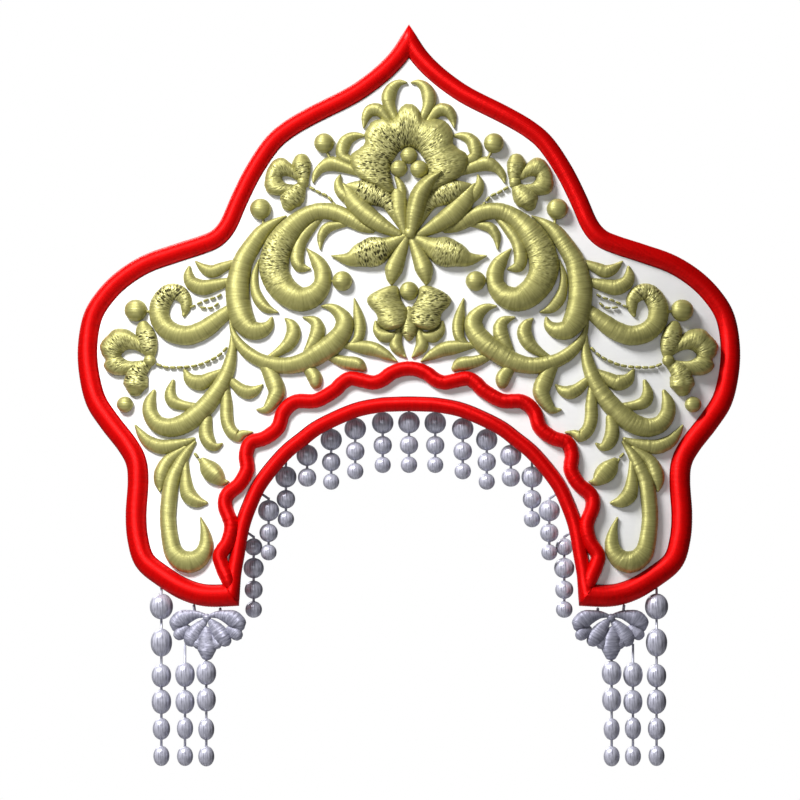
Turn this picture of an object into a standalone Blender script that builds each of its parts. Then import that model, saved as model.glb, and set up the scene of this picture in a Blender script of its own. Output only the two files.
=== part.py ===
"""Kokoshnik headdress: a white crown edged with red cord, gold embroidery and bead strings.

Metres, +Z up. X runs across the crown, +Y points to the back of the head. The origin is
the underside of the head band at its top, where the head carries it.

The front is drawn on an embroidery chart: columns count outward from the middle and rows
count up from the brow. chart() stretches the squares to the driving sizes below.
"""
import math

import bmesh
import bpy
from mathutils import Vector

# Crown, in metres
EDGE_HALF_WIDTH = 0.1541
PEAK_RISE = 0.1738
ARCH_HALF_WIDTH = 0.0847
ARCH_DROP = 0.0912
PENDANT_DROP = 0.0826
FRONT_RADIUS = 0.360
LEAN = math.radians(5.0)
PLATE_THICKNESS = 0.0030
PLATE_STRIP = 0.015

# Cords
EDGE_CORD_RADIUS = 0.0053
BROW_CORD_RADIUS = 0.0035
WAVE_CORD_WIDTH = 0.0070
WAVE_CORD_HEIGHT = 0.0040
WAVE_SECTION = ((-1.0, 0.0), (-0.80, 0.70), (0.0, 1.0), (0.80, 0.70), (1.0, 0.0))
SEAT_GAP = 0.0003

# Head band
BAND_DEPTH = 0.045
BAND_THICKNESS = 0.0025
BAND_FLARE = 0.0020

# Raised embroidery
RELIEF_SLOPE = 0.36
RELIEF_LOWEST = 0.0012
RELIEF_HIGHEST = 0.0042
RELIEF_STEP = 0.00010
TIP_SHARE = 0.35
DOME_SHARE = 0.8
DOME_RINGS = ((1.0, 0.0), (0.75, 0.7))
DOME_TURN = 0.37
FLAT_ANGLE = math.radians(5.0)

# Bead strings
FRINGE_BEAD_RADIUS = 0.0052
PENDANT_BEAD_RADIUS = 0.0056
BEAD_SPACE = 0.0011
THREAD_RADIUS = 0.0006
# A bead's outline: share of its radius, none at the thread, and share of its half height
BEAD_OUTLINE = ((None, 0.98), (0.94, 0.46), (0.94, -0.46), (None, -0.98))
FRINGE_SET_BACK = 0.78
FRINGE_STAGGER = 0.0024
LONGEST_THREAD = 0.010
THREAD_SLANT = math.radians(35.0)
FAN_FRONT = 0.0018
FAN_BACK = 0.0012

ROUND_SIDES = 8
BEAD_SIDES = 10

# The chart's own squares at each driving size
WIDEST_COLUMN = 321.0
ARCH_COLUMN = 176.5
PEAK_ROW = 362.0
FOOT_ROW = -190.0
HANG_ROW = -362.0
SQUARE = EDGE_HALF_WIDTH / WIDEST_COLUMN

ACROSS_KNOTS = ((0.0, 0.0), (ARCH_COLUMN, ARCH_HALF_WIDTH), (WIDEST_COLUMN, EDGE_HALF_WIDTH))
RISE_KNOTS = (
    (HANG_ROW, -ARCH_DROP - PENDANT_DROP),
    (FOOT_ROW, -ARCH_DROP),
    (0.0, 0.0),
    (PEAK_ROW, PEAK_RISE),
)

# Centrelines on the chart: column, row
EDGE_LINE = (
    (0, 362), (10, 347), (23, 333), (40, 319), (60, 306), (96, 288), (120, 274), (137, 259),
    (155, 232), (169, 204), (180, 179), (191, 166), (206, 159), (234, 150), (262, 140),
    (286, 125), (304, 107), (316, 87), (321, 60), (320, 33), (313, 4), (299, -18),
    (281, -41), (272, -58), (270, -78), (272, -111), (270, -136), (263, -157),
    (245, -172), (223, -185), (200, -191), (169, -190),
)
EDGE_SLIM_ROWS = (190.0, 0.0)
EDGE_SLIM_SHARE = 0.84
BROW_LINE = (
    (0, 0), (15, -0.4), (30, -1.5), (55, -7), (88, -22), (106, -35), (125, -51), (147, -78),
    (158, -100), (166, -123), (171, -151), (174, -168), (175, -178),
)
WAVE_LINE = (
    (0, 35), (8, 34), (18, 30), (26, 24), (35, 21), (46, 23), (58, 25), (67, 20), (74, 13),
    (92, 3), (112, 2), (124, -8), (130, -24), (143, -34), (158, -39), (163, -51), (162, -66),
    (170, -80), (182, -91), (184, -103), (178, -121), (181, -137), (191, -151), (187, -165),
)

# Raised strokes on the chart: column, row, width in squares
CREST_HORN_INNER = ((12, 281, 7), (19, 296, 12), (20, 306, 15), (16, 315, 12), (9, 320, 7), (2, 320, 2))
CREST_HORN_OUTER = ((19, 281, 7), (29, 292, 13), (38, 292, 13), (43, 285, 9), (45, 275, 2))
SIDE_HORN_UPPER = ((49, 238, 8), (65, 246, 12), (65, 257, 14), (60, 264, 12), (52, 267, 8), (43, 267, 2))
SIDE_HORN_LOWER = ((48, 230, 8), (67, 237, 13), (78, 239, 15), (88, 234, 10), (93, 227, 7), (95, 220, 2))
HORN_BERRY = (84, 259.5, 10)
HORN_BERRY_STALK = ((84, 257, 3), (79, 246, 3), (75, 240, 3))
UPRIGHT_LEAF = ((50, 200, 8), (61, 205, 12), (68, 213, 12), (70, 221, 8), (68, 228, 2))
WILLOW_LEAF = ((3, 167, 7), (19, 158, 17), (33, 152, 30), (47, 148, 25), (60, 144, 14), (76, 147, 2))
DOWN_PETAL = ((2, 166, 7), (10, 147, 15), (15, 134, 18), (17, 124, 11), (17, 119, 4))
CALYX_LOWER_ARM = ((3, 168, 5), (22, 180, 12), (39, 191, 20), (50, 203, 22), (59, 215, 8))
CALYX_UPPER_ARM = ((58, 217, 8), (47, 217, 16), (32, 209, 20), (19, 196, 14), (12, 178, 6))
INNER_PETAL = ((4, 169, 6), (9, 188, 15), (10, 201, 17), (11, 210, 14))
INNER_TIP = ((7, 205, 9), (8, 216, 9), (13, 226, 4))
TALL_LEAF = ((-2, 169, 8), (-5, 192, 13), (-9, 211, 15), (-17, 223, 12), (-30, 230, 3))
BLOOM_KNOT = (0, 170, 7)
BLOOM_BERRIES = ((0, 248, 9), (9, 235, 9.5), (-9, 235, 9.5))
BLOOM_FAN = (
    (22, 208, 13, 210), (35, 216, 15, 216), (52, 227, 16, 225), (59, 243, 16, 234), (53, 255, 15, 243),
    (44, 262, 14, 248), (41, 276, 12, 252), (27, 284, 9, 255), (10, 287, 5, 257), (0, 299, 0, 258),
)
BOUQUET_WING = (
    (16, 118, 7, 116), (32, 114, 6, 110), (42, 104, 6, 103), (37, 95, 4, 95), (31, 86, 3, 88),
    (25, 75, 3, 81), (10, 71, 2, 72),
)
BOUQUET_PETAL = ((0, 98, 6), (0, 84, 16), (0, 72, 17), (0, 66, 12))
BOUQUET_CUP = ((33, 84, 3), (32, 72, 8), (24, 67, 12), (15, 69, 8), (9, 75, 4))
BOUQUET_FOOT = ((10, 71, 8), (13, 59, 13), (9, 52, 10), (3, 46, 2))
BOUQUET_BERRY = (0, 112, 9.5)

MAIN_SCROLL = (
    (35, 172, 5), (46, 176, 11), (57, 183, 16), (72, 190, 17), (87, 192, 17), (100, 188, 18),
    (112, 179, 22), (123, 166, 27), (131, 152, 29), (134, 136, 30), (130, 122, 29), (120, 110, 27),
    (107, 104, 25), (94, 108, 22), (86, 119, 18), (86, 132, 17), (92, 143, 13), (101, 154, 2),
)
INNER_CRESCENT = ((88, 186, 5), (101, 171, 9), (109, 159, 11), (112, 146, 12), (109, 136, 11), (98, 134, 3))
SMALL_CRESCENT = ((56, 180, 5), (70, 178, 8), (81, 175, 11), (87, 166, 9), (88, 154, 2))
SCROLL_BERRY = (66, 122, 10)
SCROLL_BERRY_STALK = ((66, 122, 3), (76, 122, 3), (86, 122, 3))
FLOWER_UPPER_PETAL = ((105, 219, 8), (105, 234, 17), (106, 246, 14))
FLOWER_RING = (
    (105, 223, 7), (116, 232, 12), (126, 236, 16), (134, 229, 18), (135, 219, 16), (127, 214, 13),
    (117, 214, 11), (105, 218, 7),
)
FLOWER_LOWER_PETAL = ((105, 219, 8), (113, 208, 20), (119, 201, 18), (121, 197, 10))
FLOWER_KNOT = (105, 221, 6)
FLOWER_STEM = ((105, 219, 3), (95, 214, 3), (88, 210, 3), (80, 206, 3), (72, 196, 3))

C_SCROLL = (
    (133, 182, 4), (145, 172, 14), (155, 158, 18), (164, 143, 20), (168, 129, 22), (170, 114, 24),
    (169, 99, 24), (165, 84, 24), (157, 74, 20), (147, 73, 17), (139, 78, 11), (136, 86, 3),
)
SPRAY_BERRY = (147, 194, 10.5)
SPRAY_BERRY_STALK = ((147, 194, 3), (145, 184, 3), (144, 174, 3))
SIDE_CRESCENT_UPPER = ((168, 143, 5), (185, 136, 11), (195, 132, 13), (204, 135, 10), (212, 142, 2))
SIDE_CRESCENT_LOWER = (
    (172, 124, 6), (193, 118, 13), (206, 116, 16), (216, 121, 14), (219, 129, 10), (218, 137, 3),
)
SIDE_VOLUTE = (
    (172, 98, 10), (192, 82, 17), (205, 73, 19), (220, 68, 20), (235, 71, 20), (245, 80, 20), (248, 92, 20),
    (245, 103, 20), (237, 111, 18), (228, 110, 16), (222, 103, 13), (222, 94, 9), (224, 87, 3),
)
SIDE_BERRY = (271, 93, 11)
SIDE_BERRY_STALK = ((271, 93, 3), (260, 92, 3), (249, 92, 3))

LOWER_SCROLL = (
    (175, 75, 3), (169, 63, 8), (160, 52, 12), (149, 44, 14), (135, 39, 16), (119, 38, 17), (103, 42, 19),
    (89, 50, 21), (76, 59, 22), (66, 71, 20), (64, 82, 18), (70, 91, 13), (78, 96, 8), (87, 97, 2),
)
LOWER_CRESCENT_OUTER = ((142, 44, 4), (130, 52, 7), (119, 61, 12), (115, 71, 13), (118, 79, 9), (123, 85, 2))
LOWER_CRESCENT_INNER = ((104, 46, 4), (94, 64, 12), (91, 74, 13), (94, 82, 10), (105, 86, 2))
LOWER_RIGHT_CRESCENT = ((54, 104, 2), (51, 89, 9), (49, 76, 11), (51, 64, 9), (61, 56, 5))
LOWER_RIGHT_LEAF = ((64, 58, 5), (45, 56, 12), (33, 54, 12), (22, 48, 9), (12, 42, 2))
UNDER_LEAF_INNER = ((84, 48, 5), (66, 42, 9), (50, 40, 12), (44, 33, 6))
UNDER_LEAF_MIDDLE = ((105, 40, 7), (94, 26, 12), (92, 16, 10))
UNDER_LEAF_OUTER = ((143, 40, 12), (135, 24, 17), (131, 12, 17), (134, 1, 14), (142, -6, 9), (151, -6, 2))

VINE = (
    (181, 64, 5), (179, 49, 10), (182, 34, 14), (189, 18, 17), (199, 2, 19), (210, -11, 20), (223, -20, 20),
    (237, -24, 19), (250, -20, 17), (257, -9, 15), (257, 2, 12), (253, 13, 4),
)
VINE_LEAF_HIGH = ((182, 34, 5), (195, 27, 11), (206, 21, 16), (217, 24, 13), (223, 34, 3))
VINE_LEAF_LOW = ((206, -4, 8), (223, -2, 10), (234, 2, 13), (237, 11, 11), (234, 23, 4))
VINE_LEAF_INNER = ((182, 26, 6), (167, 16, 12), (159, 12, 14), (151, 15, 10), (145, 20, 2))
VINE_LEAF_LONG = ((183, 20, 5), (180, -1, 11), (181, -17, 13), (177, -28, 12), (172, -31, 6))
VINE_LEAF_FOOT = ((202, -6, 6), (200, -26, 11), (200, -36, 13), (194, -41, 11), (187, -38, 3))
VINE_STEM = (
    (257, 43, 3), (247, 38, 3), (237, 36, 3), (217, 37, 3), (207, 39, 3), (195, 44, 3), (187, 49, 3), (180, 56, 3),
)
SIDE_FLOWER_UPPER_PETAL = ((257, 44, 8), (257, 59, 19), (262, 71, 20), (263, 78, 14))
SIDE_FLOWER_RING = (
    (257, 46, 7), (267, 57, 14), (280, 64, 19), (292, 60, 20), (296, 48, 17), (292, 38, 15), (279, 36, 13),
    (267, 37, 11), (257, 42, 7),
)
SIDE_FLOWER_LOWER_PETAL = ((258, 42, 8), (266, 27, 21), (270, 18, 20), (272, 13, 12))
SIDE_FLOWER_KNOT = (257, 43, 6)
SIDE_FLOWER_BERRY = (278, 5, 9.5)

FOOT_SCROLL = (
    (212, -38, 3), (220, -48, 9), (228, -62, 13), (235, -78, 15), (238, -96, 16), (239, -116, 17),
    (236, -136, 19), (230, -151, 20), (218, -158, 20), (207, -152, 18), (201, -139, 15), (202, -126, 9),
    (207, -114, 2),
)
FOOT_SIDE_LEAF = ((222, -44, 6), (240, -57, 9), (246, -69, 10), (248, -79, 7), (247, -88, 2))
FOOT_INNER_LEAF = ((222, -54, 6), (221, -73, 9), (220, -86, 13), (213, -95, 11), (202, -99, 3))
LOWER_LEFT_LEAF = ((216, -41, 7), (229, -43, 9), (243, -45, 13), (255, -42, 12), (264, -34, 9), (271, -26, 2))
DROP_LEAF = ((205, -57, 6), (197, -66, 17), (190, -74, 15), (183, -78, 8), (177, -79, 2))
DROP_LEAF_STALK = ((206, -60, 3), (209, -54, 3), (216, -46, 3))

FAN_PETALS = (
    ((200, -213, 5), (217, -212, 9), (226, -215, 12), (230, -219, 9)),
    ((200, -214, 5), (216, -222, 13), (227, -228, 11)),
    ((200, -215, 5), (210, -228, 13), (218, -236, 11)),
    ((201, -214, 6), (201, -238, 18), (201, -248, 12)),
    ((201, -229, 8), (212, -240, 10)),
    ((201, -229, 8), (189, -243, 9)),
    ((201, -215, 5), (190, -228, 12), (180, -237, 10)),
    ((201, -214, 5), (184, -224, 13), (172, -230, 11)),
    ((201, -213, 5), (185, -213, 10), (174, -214, 10), (168, -217, 5)),
)
FAN_HUB = (201, -214, 6)
FAN_THREADS = (((214, -199.0, 2.4), (213, -211, 2.4)), ((188, -201.7, 2.4), (188, -213, 2.4)))

# Fringe strings: column, row of the first bead's middle, bead radii as shares of FRINGE_BEAD_RADIUS
FRINGE = (
    (0.0, -18.5, (1.00, 0.85, 0.76)),
    (26.2, -18.8, (1.00, 0.85, 0.75)),
    (53.6, -24.7, (1.00, 0.86, 0.76)),
    (77.6, -35.6, (0.99, 0.85, 0.75)),
    (101.6, -51.2, (0.98, 0.85)),
    (122.8, -72.8, (0.98, 0.86, 0.76)),
    (140.0, -106.4, (0.98, 0.85, 0.74)),
    (155.0, -142.6, (0.80, 0.94, 0.84, 0.77)),
)
# Pendant strings: name, column, row of the top, rows to bead middles, radius and half height shares
PENDANTS = (
    ("outer", 247.0, -183.6, ((-202, 1.00, 1.11), (-238, 0.92, 1.20), (-271, 0.84, 1.00),
                              (-297, 0.84, 1.05), (-324, 0.75, 0.94), (-351, 0.69, 0.87))),
    ("middle", 223.3, -239.0, ((-269.8, 0.84, 1.06), (-297, 0.82, 1.02), (-323.3, 0.70, 0.94),
                               (-351, 0.69, 0.85))),
    ("inner", 202.0, -252.8, ((-268, 0.85, 1.04), (-294.6, 0.82, 1.02), (-324, 0.69, 0.94),
                              (-351, 0.69, 0.87))),
)


def read_knots(value, knots):
    """Read a value through straight pieces between the knots, and straight on past the last."""
    for (start, low), (end, high) in zip(knots, knots[1:]):
        if value <= end:
            break
    return low + (value - start) * (high - low) / (end - start)


def chart(column, row):
    """Real x and z of a place on the chart."""
    across = read_knots(abs(column), ACROSS_KNOTS)
    return math.copysign(across, column), read_knots(row, RISE_KNOTS)


FACE_Y = -(BROW_CORD_RADIUS + SEAT_GAP + BAND_DEPTH / 2)


def front(x, z, lift=0.0):
    """A place on the plate's middle surface, or lifted towards the viewer off it."""
    run = math.sqrt(FRONT_RADIUS ** 2 - x ** 2)
    lean = math.tan(LEAN)
    back = FACE_Y + FRONT_RADIUS - run + max(z, -ARCH_DROP) * lean
    normal = Vector((x / run, -1.0, lean if z > -ARCH_DROP else 0.0)).normalized()
    return Vector((x, back, z)) + normal * lift


def behind(x, z, distance):
    """A place straight back from the plate's middle surface, that far from it along its normal."""
    place = front(x, z)
    place.y += distance / abs((front(x, z, 1.0) - place).y)
    return place


def smooth(points, steps):
    """Points of a curve that passes through the chart's points, some steps between each two."""
    path = []
    for index in range(len(points) - 1):
        before = points[max(index - 1, 0)]
        start, end = points[index], points[index + 1]
        after = points[min(index + 2, len(points) - 1)]
        for step in range(steps):
            t = step / steps
            path.append(tuple(
                0.5 * (2 * b + (c - a) * t + (2 * a - 5 * b + 4 * c - d) * t ** 2
                       + (3 * b - a - 3 * c + d) * t ** 3)
                for a, b, c, d in zip(before, start, end, after)))
    path.append(tuple(float(value) for value in points[-1]))
    return path


def edge_radius(row):
    """Radius of the edge cord, a little slimmer above the side lobes."""
    high, low = EDGE_SLIM_ROWS
    share = min(max((row - low) / (high - low), 0.0), 1.0)
    return EDGE_CORD_RADIUS * (1.0 + (EDGE_SLIM_SHARE - 1.0) * share)


def cord_line(points, steps, radius_at):
    """Cord centreline as x, z and radius."""
    return [(*chart(column, row), radius_at(row)) for column, row in smooth(points, steps)]


EDGE_PATH = cord_line(EDGE_LINE, 1, edge_radius)
BROW_PATH = cord_line(BROW_LINE, 1, lambda row: BROW_CORD_RADIUS)


def clear_of(x, z, reach, line):
    """Move a place off a cord until its reach clears the cord's side."""
    for (ax, az, radius), (bx, bz, _) in zip(line, line[1:]):
        run_x, run_z = bx - ax, bz - az
        share = ((abs(x) - ax) * run_x + (z - az) * run_z) / (run_x ** 2 + run_z ** 2)
        share = min(max(share, 0.0), 1.0)
        off_x, off_z = abs(x) - (ax + run_x * share), z - (az + run_z * share)
        distance = math.hypot(off_x, off_z)
        short = radius + reach + SEAT_GAP - distance
        if short > 0.0 and distance > 0.0:
            x += math.copysign(off_x * short / distance, x)
            z += off_z * short / distance
    return x, z


def wave_path():
    """Wave cord's centreline, kept off the brow cord and the edge cord."""
    path = []
    for column, row in smooth(WAVE_LINE, 1):
        x, z = chart(column, row)
        if column > ARCH_COLUMN / 2:
            x, z = clear_of(x, z, WAVE_CORD_WIDTH / 2 + SEAT_GAP, BROW_PATH)
        path.append((x, z, WAVE_CORD_WIDTH / 2))
    return path


WAVE_PATH = wave_path()


def material(name, color, roughness, metallic=0.0):
    """Principled material, made once for each name."""
    made = bpy.data.materials.get(name)
    if made is None:
        made = bpy.data.materials.new(name)
        made.use_nodes = True
        shader = made.node_tree.nodes["Principled BSDF"]
        shader.inputs["Base Color"].default_value = (*color, 1.0)
        shader.inputs["Roughness"].default_value = roughness
        shader.inputs["Metallic"].default_value = metallic
    return made


def board():
    return material("white_satin", (0.86, 0.86, 0.84), 0.55)


def red():
    return material("red_satin", (0.60, 0.01, 0.01), 0.35)


def gold():
    return material("gold_thread", (0.48, 0.45, 0.18), 0.42, 0.3)


def lilac():
    return material("lilac_bead", (0.42, 0.42, 0.52), 0.28)


def add_object(name, mesh, finish):
    """Link a mesh as a named object with its material."""
    made = bpy.data.objects.new(name, mesh)
    mesh.materials.clear()
    mesh.materials.append(finish)
    bpy.context.scene.collection.objects.link(made)
    return made


def mesh_from(name, bm, merge=0.0):
    """Turn a bmesh into a mesh with its faces pointing out."""
    if merge:
        bmesh.ops.remove_doubles(bm, verts=bm.verts, dist=merge)
    bmesh.ops.recalc_face_normals(bm, faces=bm.faces)
    mesh = bpy.data.meshes.new(name)
    bm.to_mesh(mesh)
    bm.free()
    return mesh


def sweep(rings, cap_start, cap_end):
    """Skin rings of places, which all have as many, and close the ends asked for."""
    bm = bmesh.new()
    loops = [[bm.verts.new(place) for place in ring] for ring in rings]
    sides = len(loops[0])
    for first, second in zip(loops, loops[1:]):
        for side in range(sides):
            following = (side + 1) % sides
            bm.faces.new((first[side], first[following], second[following], second[side]))
    if cap_start:
        bm.faces.new(loops[0])
    if cap_end:
        bm.faces.new(loops[-1])
    return bm


def mirrored(bm):
    """Complete a half that is open on the middle plane with its mirror image."""
    bmesh.ops.mirror(bm, geom=bm.verts[:] + bm.edges[:] + bm.faces[:], axis="X", merge_dist=0.00002)
    return bm


def round_section(line, sides):
    """Rings of a round cord along a half line that starts on the middle plane."""
    places = [front(x, z) for x, z, _ in line]
    rings = []
    for index, (x, z, radius) in enumerate(line):
        before, after = places[max(index - 1, 0)], places[min(index + 1, len(places) - 1)]
        run = (after - before).normalized()
        out = (front(x, z, 1.0) - front(x, z)).normalized()
        across = run.cross(out).normalized()
        out = across.cross(run)
        ring = []
        for side in range(sides):
            angle = 2 * math.pi * (side + 0.5) / sides
            place = places[index] + radius * (math.cos(angle) * out + math.sin(angle) * across)
            if index == 0:
                place -= run * (place.x / run.x)
                place.x = 0.0
            ring.append(place)
        rings.append(ring)
    return rings


def make_cord(name, line):
    """A round cord from one foot over the middle to the other foot."""
    bm = sweep(round_section(line, ROUND_SIDES), False, True)
    made = add_object(name, mesh_from(name, mirrored(bm)), red())
    made.data.shade_smooth()
    return made


def make_wave_cord():
    """The wavy cord on the face: flat under, round on top."""
    base = PLATE_THICKNESS / 2 + SEAT_GAP
    rings = []
    for index, (x, z, half) in enumerate(WAVE_PATH):
        before = WAVE_PATH[max(index - 1, 0)]
        after = WAVE_PATH[min(index + 1, len(WAVE_PATH) - 1)]
        run = Vector((after[0] - before[0], after[1] - before[1])).normalized()
        if index == 0:
            run = Vector((1.0, 0.0))
        rings.append([
            front(x - run.y * half * across, z + run.x * half * across, base + height * WAVE_CORD_HEIGHT)
            for across, height in WAVE_SECTION])
    for place in rings[0]:
        place.x = 0.0
    bm = mirrored(sweep(rings, False, True))
    made = add_object("wave_cord", mesh_from("wave_cord", bm), red())
    made.data.shade_smooth()
    made.data.set_sharp_from_angle(angle=math.radians(50))


def inset(line, others, inward):
    """Plate edge that stops short of a cord: the cord's line moved by its radius and a gap."""
    kept = []
    for index, (x, z, radius) in enumerate(line):
        before, after = line[max(index - 1, 0)], line[min(index + 1, len(line) - 1)]
        run = Vector((after[0] - before[0], after[1] - before[1])).normalized()
        far = radius + SEAT_GAP
        place = (x + inward * run.y * far, z - inward * run.x * far)
        clear = all(
            math.hypot(place[0] - ox, place[1] - oz) > other + SEAT_GAP for ox, oz, other in others)
        if clear:
            kept.append(place)
    return kept


def make_plate():
    """White board: cut flat, sliced into upright strips, then bent round the head."""
    outer = inset(EDGE_PATH, BROW_PATH, 1.0)
    inner = inset(BROW_PATH, EDGE_PATH, -1.0)
    outer = [(outer[0][0] - EDGE_CORD_RADIUS, outer[0][1])] + outer
    inner = [(-EDGE_CORD_RADIUS * 2, inner[0][1])] + inner
    bm = bmesh.new()
    verts = [bm.verts.new((x, 0.0, z)) for x, z in outer + inner[::-1]]
    bm.faces.new(verts)
    strips = int(EDGE_HALF_WIDTH / PLATE_STRIP) + 1
    for strip in range(strips):
        bmesh.ops.bisect_plane(
            bm, geom=bm.verts[:] + bm.edges[:] + bm.faces[:], dist=1e-7,
            plane_co=(strip * PLATE_STRIP, 0.0, 0.0), plane_no=(-1.0, 0.0, 0.0), clear_outer=strip == 0)
    bmesh.ops.triangulate(bm, faces=bm.faces)
    grown = bmesh.ops.extrude_face_region(bm, geom=bm.faces[:])
    for item in grown["geom"]:
        if isinstance(item, bmesh.types.BMVert):
            item.co.y = 1.0
    middle = [face for face in bm.faces if all(abs(vert.co.x) < 1e-6 for vert in face.verts)]
    bmesh.ops.delete(bm, geom=middle, context="FACES_ONLY")
    for vert in bm.verts:
        lift = PLATE_THICKNESS / 2 * (1.0 - 2.0 * vert.co.y)
        x = vert.co.x
        place = front(x, vert.co.z, lift)
        vert.co = place
        if x < 1e-6:
            vert.co.x = 0.0
    add_object("crown_plate", mesh_from("crown_plate", mirrored(bm)), board())


def make_head_band():
    """Plain vault behind the face arch, open below and behind."""
    near = BROW_CORD_RADIUS + SEAT_GAP
    line = BROW_PATH[:-2]
    rings = []
    for index, (x, z, _) in enumerate(line):
        before, after = line[max(index - 1, 0)], line[min(index + 1, len(line) - 1)]
        run = Vector((after[0] - before[0], after[1] - before[1])).normalized()
        if index == 0:
            run = Vector((1.0, 0.0))
        ring = []
        for off, deep in ((0.0, False), (BAND_FLARE, True), (BAND_FLARE + BAND_THICKNESS, True),
                          (BAND_THICKNESS, False)):
            place = behind(x - run.y * off, z + run.x * off, near)
            if deep:
                place.y += BAND_DEPTH
            if index == 0:
                place.x = 0.0
            ring.append(place)
        rings.append(ring)
    add_object("head_band", mesh_from("head_band", mirrored(sweep(rings, False, True))), board())


def sides_of(points):
    """Left and right base places of a stroke, in metres, from its middle places and widths."""
    sections = []
    for index, (column, row, width) in enumerate(points):
        before, after = points[max(index - 1, 0)], points[min(index + 1, len(points) - 1)]
        run = Vector((after[0] - before[0], after[1] - before[1])).normalized()
        x, z = chart(column, row)
        half = width * SQUARE / 2
        for line in (EDGE_PATH, BROW_PATH, WAVE_PATH):
            x, z = clear_of(x, z, half, line)
        sections.append(((x - run.y * half, z + run.x * half), (x + run.y * half, z - run.x * half)))
    return sections


def tip_of(sections, end):
    """Place of the tip beyond the first or last section."""
    (lx, lz), (rx, rz) = sections[end]
    (px, pz), (qx, qz) = sections[1 if end == 0 else -2]
    middle = Vector(((lx + rx) / 2, (lz + rz) / 2))
    run = (middle - Vector(((px + qx) / 2, (pz + qz) / 2))).normalized()
    width = math.hypot(lx - rx, lz - rz)
    return middle + run * (width * TIP_SHARE)


def relief(name, sections, sink, back=0.0):
    """Closed raised stroke: a ridge between two base lines, with a tip at each end.

    sink lowers the stroke a little so that strokes which meet do not share a face. back gives
    a stroke that hangs free a second ridge behind.
    """
    base = PLATE_THICKNESS / 2 + SEAT_GAP + RELIEF_STEP * sink
    if back:
        base = RELIEF_STEP * sink
    bm = bmesh.new()
    rings = []
    for (lx, lz), (rx, rz) in sections:
        width = math.hypot(lx - rx, lz - rz)
        height = min(max(width * RELIEF_SLOPE, RELIEF_LOWEST), RELIEF_HIGHEST)
        if back:
            height = FAN_FRONT
        middle = ((lx + rx) / 2, (lz + rz) / 2)
        ring = [front(lx, lz, base), front(*middle, base + height), front(rx, rz, base)]
        if back:
            ring.append(front(*middle, base - back))
        rings.append([bm.verts.new(place) for place in ring])
    sides = len(rings[0])
    for first, second in zip(rings, rings[1:]):
        for side in range(sides):
            following = (side + 1) % sides
            bm.faces.new((first[side], first[following], second[following], second[side]))
    for ring, end in ((rings[0], 0), (rings[-1], -1)):
        tip = bm.verts.new(front(*tip_of(sections, end), base + RELIEF_LOWEST / 4))
        for side in range(sides):
            bm.faces.new((tip, ring[side], ring[(side + 1) % sides]))
    bmesh.ops.triangulate(bm, faces=bm.faces)
    return add_object(name, mesh_from(name, bm), gold())


def stroke(name, points, sink, back=0.0):
    """Raised stroke along a line of the chart."""
    return relief(name, sides_of(points), sink, back)


def petal_band(name, pairs, sink):
    """Raised band between two outlines of the chart."""
    sections = [(chart(a, b), chart(c, d)) for a, b, c, d in pairs]
    return relief(name, sections, sink)


def dome(name, centre, sink, back=0.0):
    """Round berry or knot."""
    column, row, radius = centre
    x, z = chart(column, row)
    reach = radius * SQUARE
    for line in (EDGE_PATH, BROW_PATH, WAVE_PATH):
        x, z = clear_of(x, z, reach, line)
    base = PLATE_THICKNESS / 2 + SEAT_GAP + RELIEF_STEP * sink
    height = min(reach * DOME_SHARE, RELIEF_HIGHEST)
    if back:
        base, height = RELIEF_STEP * sink - back, FAN_FRONT + back
    rings = []
    for share, rise in DOME_RINGS:
        rings.append([
            front(x + reach * share * math.cos(2 * math.pi * (side + DOME_TURN) / ROUND_SIDES),
                  z + reach * share * math.sin(2 * math.pi * (side + DOME_TURN) / ROUND_SIDES),
                  base + height * rise)
            for side in range(ROUND_SIDES)])
    bm = sweep(rings, True, True)
    bm.faces.ensure_lookup_table()
    crown = bmesh.ops.poke(bm, faces=[bm.faces[-1]])["verts"][0]
    crown.co = front(x, z, base + height)
    bmesh.ops.triangulate(bm, faces=bm.faces)
    return add_object(name, mesh_from(name, bm), gold())


def unite(name, pieces, finish):
    """Boolean union of pieces that meet, as one mesh under one name."""
    body = pieces[0]
    for piece in pieces[1:]:
        joint = body.modifiers.new("Union", "BOOLEAN")
        joint.operation = "UNION"
        joint.solver = "EXACT"
        joint.use_self = True
        joint.object = piece
    bpy.context.view_layer.update()
    evaluated = body.evaluated_get(bpy.context.evaluated_depsgraph_get())
    mesh = bpy.data.meshes.new_from_object(evaluated)
    for piece in pieces:
        bpy.data.objects.remove(piece, do_unlink=True)
    bm = bmesh.new()
    bm.from_mesh(mesh)
    bpy.data.meshes.remove(mesh)
    bmesh.ops.dissolve_limit(
        bm, angle_limit=FLAT_ANGLE, use_dissolve_boundaries=False, verts=bm.verts, edges=bm.edges)
    bmesh.ops.triangulate(bm, faces=bm.faces)
    return add_object(name, mesh_from(name, bm), finish)


def opposite(source, name):
    """Mirror image of a piece on the other side of the crown."""
    bm = bmesh.new()
    bm.from_mesh(source.data)
    for vert in bm.verts:
        vert.co.x = -vert.co.x
    bmesh.ops.reverse_faces(bm, faces=bm.faces)
    mesh = bpy.data.meshes.new(name)
    bm.to_mesh(mesh)
    bm.free()
    return add_object(name, mesh, source.data.materials[0])


def flipped(points):
    """The same stroke on the other side of the middle."""
    return tuple((-point[0], *point[1:]) for point in points)


def flipped_pairs(pairs):
    """The same band on the other side of the middle."""
    return tuple((-a, b, -c, d) for a, b, c, d in pairs)


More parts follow.
